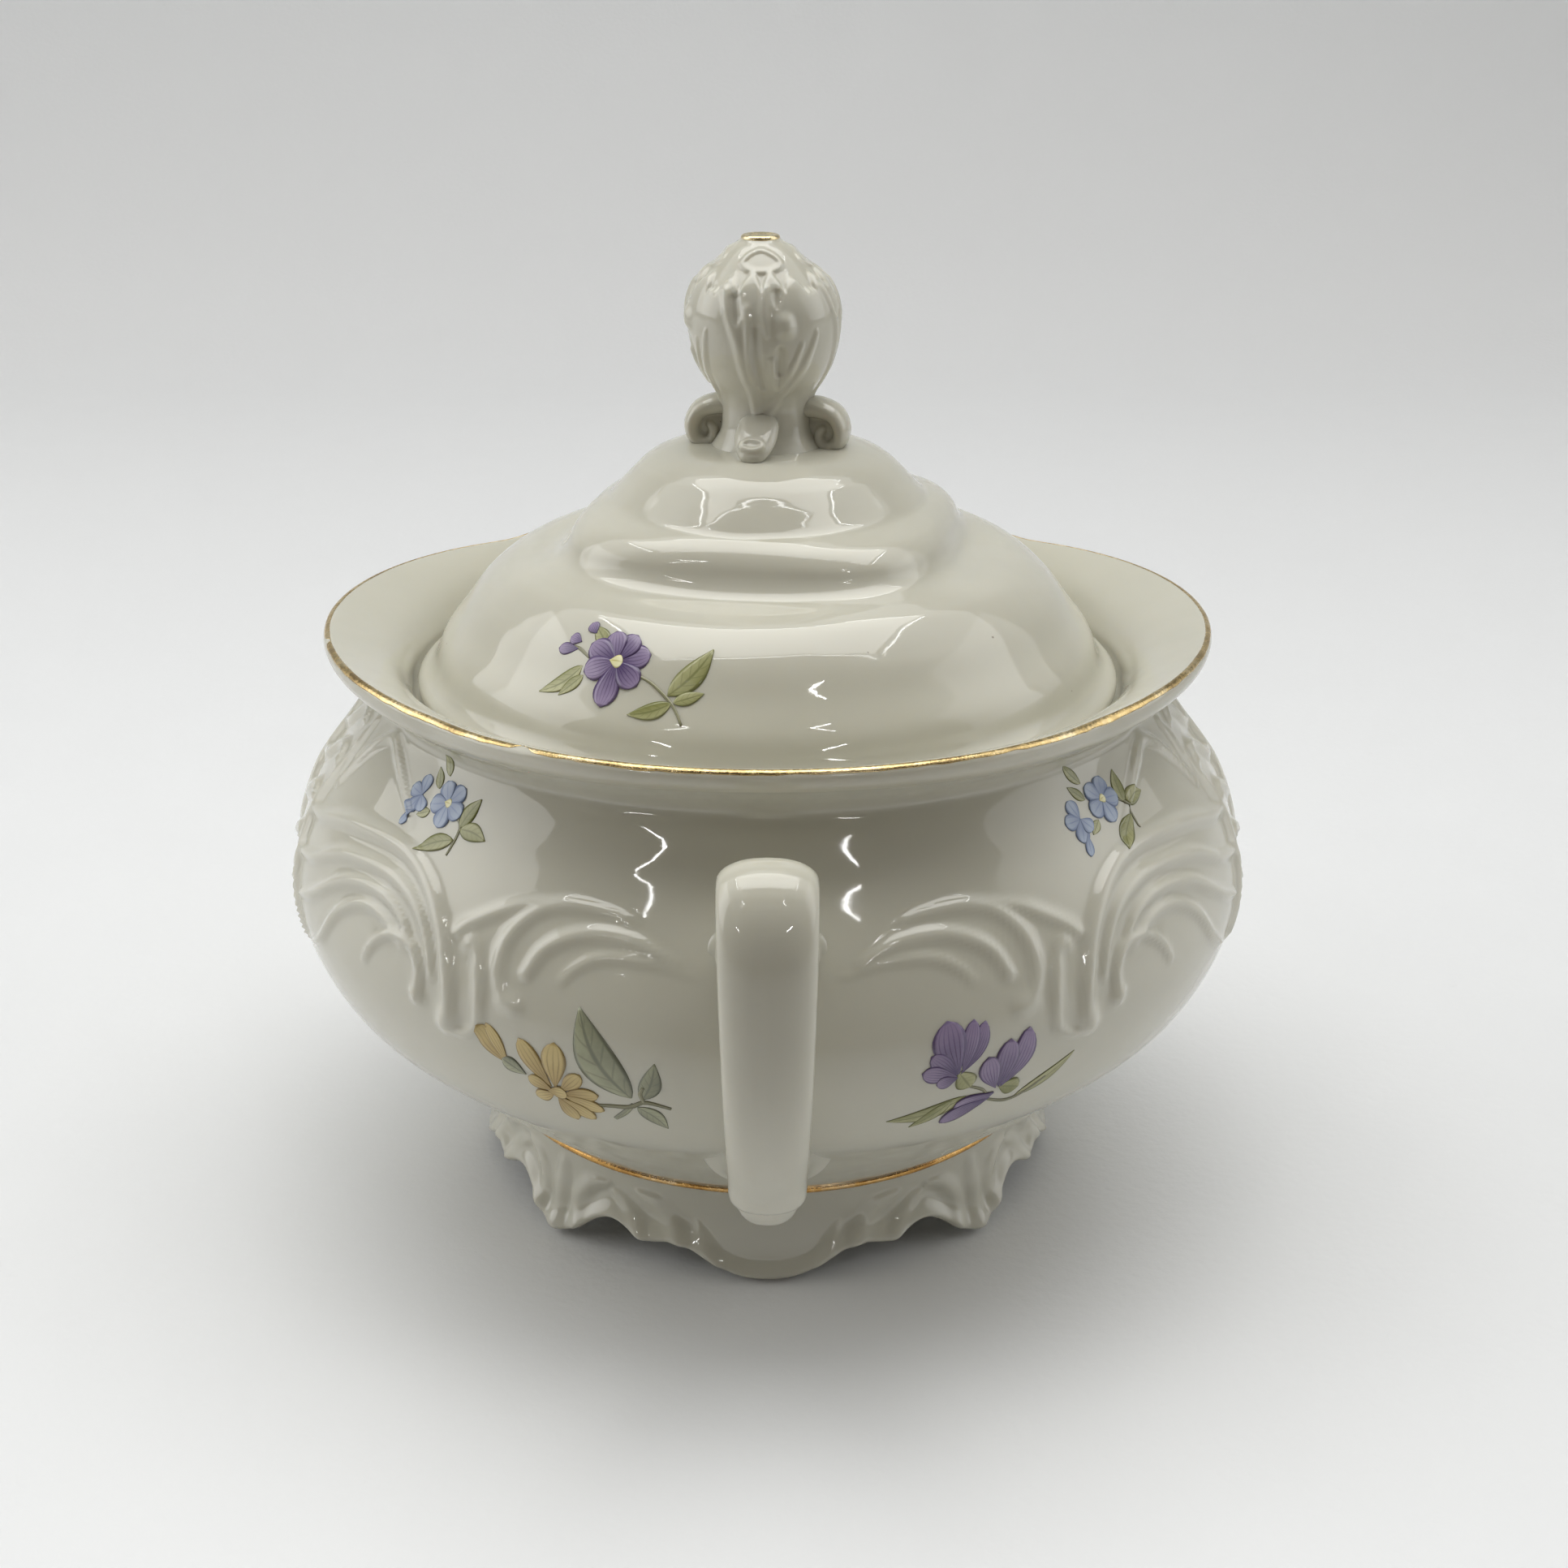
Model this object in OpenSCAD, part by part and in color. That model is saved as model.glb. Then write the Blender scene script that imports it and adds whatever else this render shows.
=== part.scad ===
// Lidded porcelain sugar bowl: four-lobed flared rim, arched skirt foot, two strap handles,
// and a tiered lid with a bud finial. Millimetres, +Z up, origin at the bottom centre of the foot.
// The two handles lie on the Y axis.

/* [Bowl] */
// Widest diameter of the belly
belly_d = 116; // [110:1:122]
// Height of the widest point of the belly
belly_z = 40; // [38:0.5:42]
// Distance across two opposite rim lobes
rim_d = 105.4; // [102:0.2:107]
// How far a notch between two lobes lies inside the lobes
notch_depth = 2.9; // [1.5:0.1:4]
// Height of the seat that carries the lid
seat_z = 62.6; // [62:0.1:63]
// Inner diameter of the seat
seat_d = 79.2; // [78.6:0.1:80]

/* [Foot] */
// Height of the foot skirt
foot_h = 11.7; // [11:0.1:12]
// Diameter over the lower edge of the skirt
foot_d = 73; // [72:0.2:77]
// Diameter at the waist, where the skirt meets the bowl
waist_d = 69.4; // [68:0.2:70]
// Wall of the skirt
foot_wall = 3; // [2.5:0.1:3.5]
// Height of the large arch beside each corner foot
arch_h = 5; // [4:0.1:5.5]
// Height of the small arch beside each middle lobe
small_arch_h = 4.2; // [3:0.1:4.5]

/* [Handles] */
// Width of the strap at the top
strap_w = 9.2; // [8.5:0.1:10.5]
// Thickness of the strap
strap_t = 4.2; // [3.8:0.1:4.8]
// Distance from the axis to the outermost run of the strap's middle
strap_reach = 70.6; // [70:0.1:73]

/* [Lid] */
// Diameter over the brim of the lid
brim_d = 84; // [82:0.2:85]
// Outer diameter of the collar that drops into the mouth
collar_d = 77.2; // [76:0.2:77.6]
// Depth of the collar
collar_h = 6; // [4:0.5:8]
// Wall of the collar
collar_wall = 2.6; // [2.2:0.1:3]
// Distance from the axis to the flats of the upper tier
ledge_flat_r = 21.7; // [21:0.1:22.5]
// Distance from the axis to the corners of the upper tier
ledge_corner_r = 24.8; // [24:0.1:25.5]
// Turn of the lid in its seat, seen from above
lid_turn = -11; // [-45:1:45]
// Play between the brim and the seat
lid_play = 0.1; // [0.05:0.05:0.2]

/* [Finial] */
// Height of the tip of the finial over the table
finial_top_z = 114.8; // [113:0.1:117]
// Widest diameter of the bud
bud_d = 17.6; // [16:0.2:19]
// Diameter of the gilded tip
tip_d = 3.9; // [3:0.1:4.5]
// Distance of each volute from the axis
volute_reach = 7.5; // [7:0.1:8.5]

/* [Gilding] */
// Width of the gold band on the rim
rim_band_w = 0.9; // [0.6:0.1:1.4]
// Thickness that stands for the fired gold film
film_t = 0.25; // [0.2:0.05:0.4]
// Height of the gold line over the foot
foot_line_h = 0.8; // [0.6:0.1:1]

/* [Hidden] */

porcelain = "#ece8dc";
gold = "#c99a45";
round_fn = 96;
cut_over = 1;

belly_r = belly_d / 2;
rim_r = rim_d / 2;
waist_r = waist_d / 2;
foot_r = foot_d / 2;
seat_r = seat_d / 2;
brim_r = brim_d / 2;
collar_r = collar_d / 2;
bud_r = bud_d / 2;
tip_r = tip_d / 2;
brim_z = seat_z + lid_play;
line_r = waist_r + 0.45;
lid_top_z = 91.1;
tier_foot_z = 77.5;
bud_neck_r = 5.6;

// A smooth curve through a list of points, steps points to each span.
function spline_point(a, b, c, d, t) =
    0.5 * (2 * b + (c - a) * t + (2 * a - 5 * b + 4 * c - d) * t * t
           + (3 * b - a - 3 * c + d) * t * t * t);
function spline(points, steps) = [
    for (i = [0:len(points) - 2])
        let (
            a = points[max(i - 1, 0)],
            b = points[i],
            c = points[i + 1],
            d = points[min(i + 2, len(points) - 1)]
        )
        for (k = [0:steps - (i == len(points) - 2 ? 0 : 1)])
            spline_point(a, b, c, d, k / steps)
];
function reversed(points) = [for (i = [len(points) - 1:-1:0]) points[i]];

// ---------------------------------------------------------------- outlines, as [radius, height]

flare_out_r = rim_r + 0.6;

// Outside of the bowl, from the waist over the belly and neck to the flared lip.
bowl_outside = spline([
    [line_r, foot_h],
    [39.4, 15.6],
    [46.5, 22],
    [belly_r - 3.5, belly_z - 10],
    [belly_r, belly_z],
    [belly_r - 2.5, belly_z + 10],
    [50, 58],
    [46.6, 62.8],
    [46.8, 64.6],
    [48.8, 66.4],
    [flare_out_r, 69.2]
], 5);

// Upper face of the flare, from the seat's corner out to the lip.
flare_inside = spline([
    [43, seat_z],
    [43.2, 64.8],
    [44.4, 66.8],
    [47.2, 68.8],
    [flare_out_r, 71.4]
], 5);

// Inside of the belly, from the underside of the seat down to the middle of the floor.
belly_inside = spline([
    [seat_r, seat_z - 2],
    [44.5, 56],
    [belly_r - 6.2, belly_z + 11],
    [belly_r - 3.2, belly_z],
    [belly_r - 6.5, belly_z - 9],
    [44, 23],
    [34, 16.8],
    [20, 14.9],
    [0, 14.6]
], 5);

// Outside of the lid over its corners, from the edge of the brim up the tiers to the top.
lid_outside = spline([
    [brim_r, brim_z + 1],
    [brim_r - 0.6, brim_z + 2.1],
    [39.8, 65.6],
    [38.6, 69],
    [36.3, 72],
    [33.8, 75.2],
    [31.2, 77.6],
    [29.2, 78.8],
    [27.6, 79.5],
    [26.2, 80.2],
    [25.4, 81.1],
    [ledge_corner_r, 82.4],
    [23, 83.6],
    [21, 84.4],
    [19.4, 85],
    [18.2, 85.8],
    [16.4, 87.5],
    [14.3, 89.4],
    [12.4, 90.4],
    [10, 90.9],
    [bud_neck_r, lid_top_z]
], 4);

// Flank of the upper tier over its flats, from the lower dome up clear of the top dome.
tier_side = spline([
    [31.4, 77.5],
    [27.4, 78.5],
    [25, 78.8],
    [23.4, 79.5],
    [22.4, 80.9],
    [ledge_flat_r, 82.4],
    [20.8, 83.6],
    [20, 84.6],
    [19.6, 86.4],
    [19.4, 88.6],
    [19.3, lid_top_z + cut_over]
], 4);

// Inside of the lid, from the middle of its roof down to the collar.
lid_inside = spline([
    [0, 87.6],
    [7, 87],
    [11, 84.8],
    [14.6, 81],
    [17.6, 77.4],
    [23.6, 75.8],
    [30, 72.4],
    [34.2, 68.4],
    [collar_r - collar_wall, brim_z]
], 4);

// Outside of the foot skirt, from its lower edge up to the waist.
skirt_outside = spline([
    [foot_r, 0],
    [foot_r - 0.5, 2.2],
    [foot_r - 1.9, 5],
    [waist_r - 0.1, 8.4],
    [waist_r, foot_h - foot_line_h]
], 5);

// Half outline of the bud, from its neck up to the tip.
bud_side = spline([
    [bud_neck_r, lid_top_z],
    [5.2, 93.4],
    [5.4, 95.6],
    [6.4, 97.2],
    [7.6, 99],
    [8.4, 101],
    [bud_r, 104.4],
    [bud_r - 0.3, 107.6],
    [7.5, 110],
    [5.7, 111.9],
    [3.5, 113.6],
    [tip_r + 0.3, finial_top_z - film_t - 0.4],
    [tip_r, finial_top_z - film_t]
], 4);

// ---------------------------------------------------------------- bowl

// Circles that give the four lobes of the rim: the same notch and lobe radii in every quarter.
lobe_shift = (rim_r * rim_r - pow(rim_r - notch_depth, 2))
    / (2 * (rim_r - (rim_r - notch_depth) * cos(45)));
module rim_plan(inset) {
    for (quarter = [0:3])
        rotate(quarter * 90)
            translate([lobe_shift, 0])
                circle(r = rim_r - lobe_shift - inset, $fn = round_fn);
}

// Keeps what lies inside the lobed rim, and everything below the neck.
module rim_trim() {
    translate([0, 0, seat_z])
        linear_extrude(height = 12)
            rim_plan(0);
    cylinder(r = belly_r + cut_over, h = seat_z + cut_over, $fn = round_fn);
}

module bowl_shell() {
    color(porcelain)
        intersection() {
            rotate_extrude($fn = round_fn)
                polygon(concat(
                    [[0, foot_h]],
                    bowl_outside,
                    reversed(flare_inside),
                    [[seat_r, seat_z]],
                    belly_inside
                ));
            rim_trim();
        }
}

// The solid of revolution inside the bowl's outer face, which trims what is luted to it.
module bowl_envelope() {
    rotate_extrude($fn = round_fn)
        polygon(concat([[0, foot_h]], bowl_outside, [[0, 71]]));
}

// ---------------------------------------------------------------- foot

// Angles of the arches on either side of each corner foot, which stands at 45 degrees.
large_arch_angle = 12.5;
large_arch_r = 4.6;
small_arch_angle = 22;
small_arch_r = 4;

module skirt_arches(angle, radius, height) {
    for (corner = [45:90:315])
        for (side = [-1, 1])
            rotate([0, 0, corner + side * angle])
                translate([foot_r - foot_wall - 4, 0, height - radius])
                    rotate([0, 90, 0])
                        cylinder(r = radius, h = foot_wall + 8, $fn = round_fn);
}

module foot_skirt() {
    color(porcelain)
        difference() {
            rotate_extrude($fn = round_fn)
                polygon(concat(
                    skirt_outside,
                    [
                        [waist_r, foot_h],
                        [waist_r - foot_wall, foot_h],
                        [waist_r - foot_wall, 8],
                        [foot_r - foot_wall, 0]
                    ]
                ));
            skirt_arches(large_arch_angle, large_arch_r, arch_h);
            skirt_arches(small_arch_angle, small_arch_r, small_arch_h);
        }
}

// ---------------------------------------------------------------- handles

// Middle of the strap, as [reach, height]: out of the shoulder, over the bend and down to the tail.
strap_path = spline([
    [51, 48],
    [55.4, 52.4],
    [59.6, 57.8],
    [63, 62.4],
    [66.4, 65.4],
    [69.4, 64.6],
    [strap_reach, 61],
    [strap_reach + 0.2, 54],
    [strap_reach - 0.8, 46],
    [strap_reach - 3.6, 37.6],
    [62.2, 30],
    [58.8, 24.6],
    [57, 20.4]
], 4);
last_ring = len(strap_path) - 1;
section_sides = 16;
section_power = 0.55;
// Half width and half thickness along the strap: a wide root, a slow taper, a narrow rounded tail.
function strap_half_w(t) =
    strap_w / 2 * (1 + 0.45 * pow(1 - min(t / 0.14, 1), 2) - 0.1 * t)
    * (t > 0.94 ? sqrt(1 - pow((t - 0.94) / 0.065, 2)) : 1);
function strap_half_t(t) =
    strap_t / 2 * (1 + 0.5 * pow(1 - min(t / 0.14, 1), 2))
    * (t > 0.94 ? sqrt(1 - pow((t - 0.94) / 0.065, 2)) : 1);
function signed_pow(v, p) = sign(v) * pow(abs(v), p);
function strap_ring(i) =
    let (
        t = i / last_ring,
        before = strap_path[max(i - 1, 0)],
        after = strap_path[min(i + 1, last_ring)],
        along = (after - before) / norm(after - before),
        across = [along[1], -along[0]]
    )
    [
        for (k = [0:section_sides - 1])
            let (
                angle = 360 * k / section_sides,
                u = signed_pow(cos(angle), section_power) * strap_half_w(t),
                v = signed_pow(sin(angle), section_power) * strap_half_t(t),
                p = strap_path[i] + across * v
            )
            [u, -p[0], p[1]]
    ];
strap_points = [for (i = [0:last_ring]) each strap_ring(i)];
strap_faces = concat(
    [[for (k = [section_sides - 1:-1:0]) k]],
    [
        for (i = [0:last_ring - 1], k = [0:section_sides - 1])
            let (
                a = i * section_sides + k,
                b = i * section_sides + (k + 1) % section_sides
            )
            each [
                [a, b, a + section_sides],
                [b, b + section_sides, a + section_sides]
            ]
    ],
    [[for (k = [0:section_sides - 1]) last_ring * section_sides + k]]
);

// The web that joins the lower end of the strap to the belly.
web_z = 26.4;
module lower_web() {
    hull() {
        translate([0, -59, web_z + 0.4])
            scale_block(strap_w * 0.78, 2, 6);
        translate([0, -48, web_z - 0.4])
            scale_block(strap_w * 1.3, 2, 8.4);
    }
}
module scale_block(width, depth, height) {
    cube([width, depth, height], center = true);
}

module handle() {
    color(porcelain)
        difference() {
            union() {
                polyhedron(points = strap_points, faces = strap_faces);
                lower_web();
            }
            bowl_envelope();
        }
}
module handle_front() {
    handle();
}
module handle_rear() {
    rotate([0, 0, 180])
        handle();
}

// ---------------------------------------------------------------- lid

// Two ridges that cross at right angles cut the four soft flats into the upper tier.
module tier_ridge() {
    rotate([90, 0, 0])
        linear_extrude(height = 2 * brim_r, center = true)
            polygon(concat(
                tier_side,
                [for (p = reversed(tier_side)) [-p[0], p[1]]]
            ));
}
module lid_trim() {
    intersection() {
        tier_ridge();
        rotate([0, 0, 90])
            tier_ridge();
    }
    translate([0, 0, brim_z - cut_over])
        cylinder(r = brim_r + cut_over, h = tier_foot_z - brim_z + cut_over, $fn = round_fn);
}

// The lid's outer form, filled in.
module lid_form() {
    rotate([0, 0, lid_turn])
        intersection() {
            rotate_extrude($fn = round_fn)
                polygon(concat(
                    [[0, brim_z], [brim_r - 0.6, brim_z]],
                    lid_outside,
                    [[0, lid_top_z]]
                ));
            lid_trim();
        }
}

module lid_shell() {
    color(porcelain)
        difference() {
            lid_form();
            rotate_extrude($fn = round_fn)
                polygon(concat(
                    lid_inside,
                    [[collar_r - collar_wall, brim_z - cut_over], [0, brim_z - cut_over]]
                ));
        }
}

module lid_collar() {
    color(porcelain)
        translate([0, 0, brim_z - collar_h])
            difference() {
                cylinder(r = collar_r, h = collar_h, $fn = round_fn);
                translate([0, 0, -cut_over])
                    cylinder(r = collar_r - collar_wall, h = collar_h + 2 * cut_over, $fn = round_fn);
            }
}

// ---------------------------------------------------------------- finial

module finial_bud() {
    color(porcelain)
        rotate_extrude($fn = round_fn)
            polygon(concat([[0, lid_top_z]], bud_side, [[0, finial_top_z - film_t]]));
}

// Four curled volutes round the foot of the bud, each a ring standing on edge with a closed eye.
volute_z = 93.2;
volute_tube_r = 1.15;
volute_ring_r = 1.6;
eye_w = 1.2;
module volute() {
    translate([volute_reach, 0, volute_z])
        rotate([90, 0, 0]) {
            rotate_extrude($fn = 48)
                translate([volute_ring_r, 0])
                    circle(r = volute_tube_r, $fn = 32);
            cylinder(r = volute_ring_r, h = eye_w, center = true, $fn = 48);
        }
}
module finial_volutes() {
    color(porcelain)
        difference() {
            for (quarter = [0:3])
                rotate([0, 0, lid_turn + quarter * 90])
                    volute();
            rotate_extrude($fn = round_fn)
                polygon(concat([[0, lid_top_z - 8]], bud_side, [[0, finial_top_z]]));
            lid_form();
        }
}

// ---------------------------------------------------------------- gilding

module rim_gilding() {
    raised = [for (p = flare_inside) [p[0], p[1] + film_t]];
    color(gold)
        intersection() {
            rotate_extrude($fn = round_fn)
                polygon(concat(flare_inside, reversed(raised)));
            translate([0, 0, seat_z])
                linear_extrude(height = 12)
                    difference() {
                        rim_plan(0);
                        rim_plan(rim_band_w);
                    }
        }
}

module foot_gilding() {
    color(gold)
        translate([0, 0, foot_h - foot_line_h])
            difference() {
                cylinder(r = line_r, h = foot_line_h, $fn = round_fn);
                translate([0, 0, -cut_over])
                    cylinder(r = waist_r, h = foot_line_h + 2 * cut_over, $fn = round_fn);
            }
}

module finial_gilding() {
    color(gold)
        translate([0, 0, finial_top_z - film_t])
            cylinder(r = tip_r, h = film_t, $fn = round_fn);
}

bowl_shell();
foot_skirt();
handle_front();
handle_rear();
lid_shell();
lid_collar();
finial_bud();
finial_volutes();
rim_gilding();
foot_gilding();
finial_gilding();
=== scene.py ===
"""Lidded porcelain sugar bowl: moulded relief, lobed gilded rim, arched foot, strap handles,
square-shouldered lid with a leaf bud finial, and fired floral sprays. Shapes are in millimetres
in the row frame and turn into metres when a mesh is made."""

import math

import bpy
import numpy as np
from mathutils import Matrix, Vector


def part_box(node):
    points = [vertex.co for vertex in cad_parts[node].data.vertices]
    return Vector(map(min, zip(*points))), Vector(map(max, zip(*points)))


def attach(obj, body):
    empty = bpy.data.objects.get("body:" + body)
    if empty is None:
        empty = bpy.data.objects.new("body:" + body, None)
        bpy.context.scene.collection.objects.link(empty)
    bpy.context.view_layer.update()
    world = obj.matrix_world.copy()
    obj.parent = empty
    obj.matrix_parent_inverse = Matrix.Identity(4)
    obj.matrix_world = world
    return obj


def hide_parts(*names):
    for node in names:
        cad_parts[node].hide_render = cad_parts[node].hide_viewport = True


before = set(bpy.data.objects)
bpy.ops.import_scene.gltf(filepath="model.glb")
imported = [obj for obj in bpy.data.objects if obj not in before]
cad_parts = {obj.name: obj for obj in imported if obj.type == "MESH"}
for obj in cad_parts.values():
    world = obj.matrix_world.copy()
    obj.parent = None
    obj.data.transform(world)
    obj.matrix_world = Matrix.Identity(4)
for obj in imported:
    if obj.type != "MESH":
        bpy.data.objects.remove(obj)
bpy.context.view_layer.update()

MM = 0.001


def node_box(node):
    """Lowest and highest corner of a CAD node, in millimetres."""
    low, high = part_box(node)
    return np.array(low) / MM, np.array(high) / MM


collar_low, collar_high = node_box("lid_collar")
BELLY_R = node_box("bowl_shell")[1][0]
RIM_R = node_box("rim_gilding")[1][0]
FOOT_R, _, FOOT_H = node_box("foot_skirt")[1]
BRIM_Z = node_box("lid_shell")[0][2]
BRIM_R, _, LID_TOP = node_box("lid_shell")[1]
COLLAR_R = collar_high[0]
SEAT_Z = collar_high[2] - 0.1
TIP_Z = node_box("finial_bud")[1][2]
REACH = -node_box("handle_front")[0][1] - 2.2
LID_TURN = math.radians(-11)
LINE_R = 35.15

# ---------------------------------------------------------------- curves and grids


def spline(points, per_span=16):
    """A smooth curve through the points, per_span steps to each span (any number of columns)."""
    p = np.asarray(points, float)
    before = np.vstack([p[:1], p[:-1]])
    after = np.vstack([p[2:], p[-1:]])
    rows = []
    for i in range(len(p) - 1):
        a, b, c, d = before[i], p[i], p[i + 1], after[i]
        for t in np.arange(per_span) / per_span:
            rows.append(
                0.5 * (2 * b + (c - a) * t + (2 * a - 5 * b + 4 * c - d) * t ** 2
                       + (3 * b - a - 3 * c + d) * t ** 3)
            )
    rows.append(p[-1])
    return np.array(rows)


def run_length(curve):
    """Distance along a curve at each of its points."""
    return np.concatenate([[0], np.cumsum(np.linalg.norm(np.diff(curve, axis=0), axis=1))])


def respaced(curve, count):
    """The curve with count points, evenly spaced along it."""
    s = run_length(curve)
    at = np.linspace(0, s[-1], count)
    return np.stack([np.interp(at, s, curve[:, k]) for k in range(curve.shape[1])], axis=1)


def unit(vectors):
    return vectors / np.linalg.norm(vectors, axis=-1, keepdims=True)


def radius_on(outline):
    """The radius of an outline as a function of height."""
    return lambda height: np.interp(height, outline[:, 1], outline[:, 0])


def softened(values, degrees):
    """Values round the axis with their corners softened over some degrees."""
    waves = np.fft.rfft(values)
    waves *= np.exp(-0.5 * (np.arange(len(waves)) * math.radians(degrees)) ** 2)
    return np.fft.irfft(waves, len(values))


def smoothstep(x, low=0.0, high=1.0):
    t = np.clip((x - low) / (high - low), 0, 1)
    return t * t * (3 - 2 * t)


def around(count):
    """Angles round the axis, from the front (-Y) towards +X."""
    return np.arange(count) * 2 * math.pi / count


def turned(radius, height, angle):
    """Points at radius and height, at an angle from the front towards +X."""
    radius, height, angle = np.broadcast_arrays(radius, height, angle)
    return np.stack([radius * np.sin(angle), -radius * np.cos(angle), height], axis=-1)


def turned_outline(outline, angle):
    """Rings of an outline of (radius, height) turned round the axis."""
    return turned(outline[:, :1], outline[:, 1:], angle[None, :])


def grid_faces(rows, columns, wrap_rows=False, wrap_columns=True):
    """Quads over a grid of rows and columns of points."""
    r = np.arange(rows if wrap_rows else rows - 1)
    c = np.arange(columns if wrap_columns else columns - 1)
    rr, cc = np.meshgrid(r, c, indexing="ij")
    r2 = (rr + 1) % rows
    c2 = (cc + 1) % columns
    quads = [rr * columns + cc, rr * columns + c2, r2 * columns + c2, r2 * columns + cc]
    return np.stack(quads, axis=-1).reshape(-1, 4)


class Mesh:
    """Vertices in millimetres, faces and point attributes, gathered before a piece is made."""

    def __init__(self):
        self.points = []
        self.faces = []
        self.values = {}
        self.count = 0

    def add(self, points, faces, **values):
        """Takes points, and faces as blocks of rows of corner numbers."""
        points = np.asarray(points, float).reshape(-1, 3)
        for name in set(self.values) | set(values):
            if name not in self.values:
                self.values[name] = [np.zeros(self.count)]
            given = values.get(name, 0.0)
            self.values[name].append(np.broadcast_to(np.ravel(given), (len(points),)).astype(float))
        self.points.append(points)
        for block in faces:
            self.faces.extend((np.asarray(block) + self.count).tolist())
        self.count += len(points)

    def loft(self, rings, **values):
        """A closed skin over rings (rows, columns, 3), its first and last ring drawn to a point."""
        rows, columns = rings.shape[:2]
        body = rings.reshape(-1, 3)
        faces = [grid_faces(rows, columns)]
        extra = []
        for row in (0, rows - 1):
            ring = np.arange(columns) + row * columns
            if row == 0:
                ring = ring[::-1]
            tip = np.full(columns, len(body) + len(extra))
            extra.append(rings[row].mean(axis=0))
            faces.append(np.stack([ring, np.roll(ring, -1), tip], axis=1))
        points = np.vstack([body, extra])
        filled = {}
        for name, value in values.items():
            flat = np.broadcast_to(value, (rows, columns)).ravel()
            filled[name] = np.concatenate([flat, flat[:1], flat[-1:]])
        self.add(points, faces, **filled)

    def tube_ring(self, rings, **values):
        """A closed ring-shaped skin: the rows wrap round as well as the columns."""
        rows, columns = rings.shape[:2]
        filled = {k: np.broadcast_to(v, (rows, columns)).ravel() for k, v in values.items()}
        self.add(rings.reshape(-1, 3), [grid_faces(rows, columns, wrap_rows=True)], **filled)

    def object(self, name):
        mesh = bpy.data.meshes.new(name)
        points = np.vstack(self.points) * MM
        mesh.from_pydata(points.tolist(), [], self.faces)
        for key, parts in self.values.items():
            layer = mesh.attributes.new(key, "FLOAT", "POINT")
            layer.data.foreach_set("value", np.concatenate(parts).astype(np.float32))
        mesh.polygons.foreach_set("use_smooth", np.ones(len(mesh.polygons), bool))
        mesh.update()
        made = bpy.data.objects.new(name, mesh)
        bpy.context.scene.collection.objects.link(made)
        if signed_volume(mesh) < 0:
            mesh.flip_normals()
        return made


def signed_volume(mesh):
    mesh.calc_loop_triangles()
    co = np.empty(len(mesh.vertices) * 3)
    mesh.vertices.foreach_get("co", co)
    tri = np.empty(len(mesh.loop_triangles) * 3, np.int64)
    mesh.loop_triangles.foreach_get("vertices", tri)
    corners = co.reshape(-1, 3)[tri.reshape(-1, 3)]
    return float(np.einsum("ij,ij->i", corners[:, 0], np.cross(corners[:, 1], corners[:, 2])).sum())


def finish_piece(obj, body, slot, material, *nodes):
    """Material, body and the CAD nodes that the piece stands for; slot is not used."""
    obj.data.materials.clear()
    obj.data.materials.append(material)
    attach(obj, body)
    if nodes:
        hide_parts(*nodes)


def make_skin(name, body, slot, material, node, rings, raised=0.0, wrap=False):
    """A piece of one skin over rings: wrapped into a ring, or drawn to a point at both ends."""
    mesh = Mesh()
    (mesh.tube_ring if wrap else mesh.loft)(rings, raised=raised)
    finish_piece(mesh.object(name), body, slot, material, node)


def fused(obj, voxel, smoothing):
    """Overlapping closed skins turned into one skin with soft joins, as luted clay has."""
    remesh = obj.modifiers.new("fuse", "REMESH")
    remesh.mode = "VOXEL"
    remesh.voxel_size = voxel * MM
    remesh.use_smooth_shade = True
    smooth = obj.modifiers.new("soften", "SMOOTH")
    smooth.factor = 0.5
    smooth.iterations = smoothing
    bpy.context.view_layer.update()
    evaluated = obj.evaluated_get(bpy.context.evaluated_depsgraph_get())
    mesh = bpy.data.meshes.new_from_object(evaluated)
    obj.modifiers.clear()
    old = obj.data
    obj.data = mesh
    bpy.data.meshes.remove(old)
    mesh.polygons.foreach_set("use_smooth", np.ones(len(mesh.polygons), bool))
    mesh.name = obj.name
    return obj


# ---------------------------------------------------------------- moulded relief


def path_distance(points, path):
    """Distance from each point to a path, and how far along the path (0 to 1) the nearest spot is."""
    best = np.full(len(points), np.inf)
    along = np.zeros(len(points))
    last = len(path) - 1
    for i in range(last):
        step = path[i + 1] - path[i]
        offset = points - path[i]
        t = np.clip(offset @ step / max(step @ step, 1e-12), 0, 1)
        distance = np.linalg.norm(offset - t[:, None] * step, axis=1)
        closer = distance < best
        best = np.where(closer, distance, best)
        along = np.where(closer, (i + t) / last, along)
    return best, along


def ridge(points, path, half_width, height, taper=(1.0, 1.0)):
    """Height of one rounded ridge along a path. taper is the share of its width left at each end."""
    distance, along = path_distance(points, path)
    keep = np.interp(along, [0, 0.35, 0.65, 1], [taper[0], 1, 1, taper[1]])
    near = np.clip(distance / (half_width * keep), 0, 1)
    return height * np.sqrt(keep) * (0.5 + 0.5 * np.cos(math.pi * near))


def surface_path(knots, radius_at):
    """Knots given as (degrees, height) on a turned surface, as a smooth path in space."""
    curve = spline(knots, 6)
    return turned(radius_at(curve[:, 1]), curve[:, 1], np.radians(curve[:, 0]))


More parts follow.
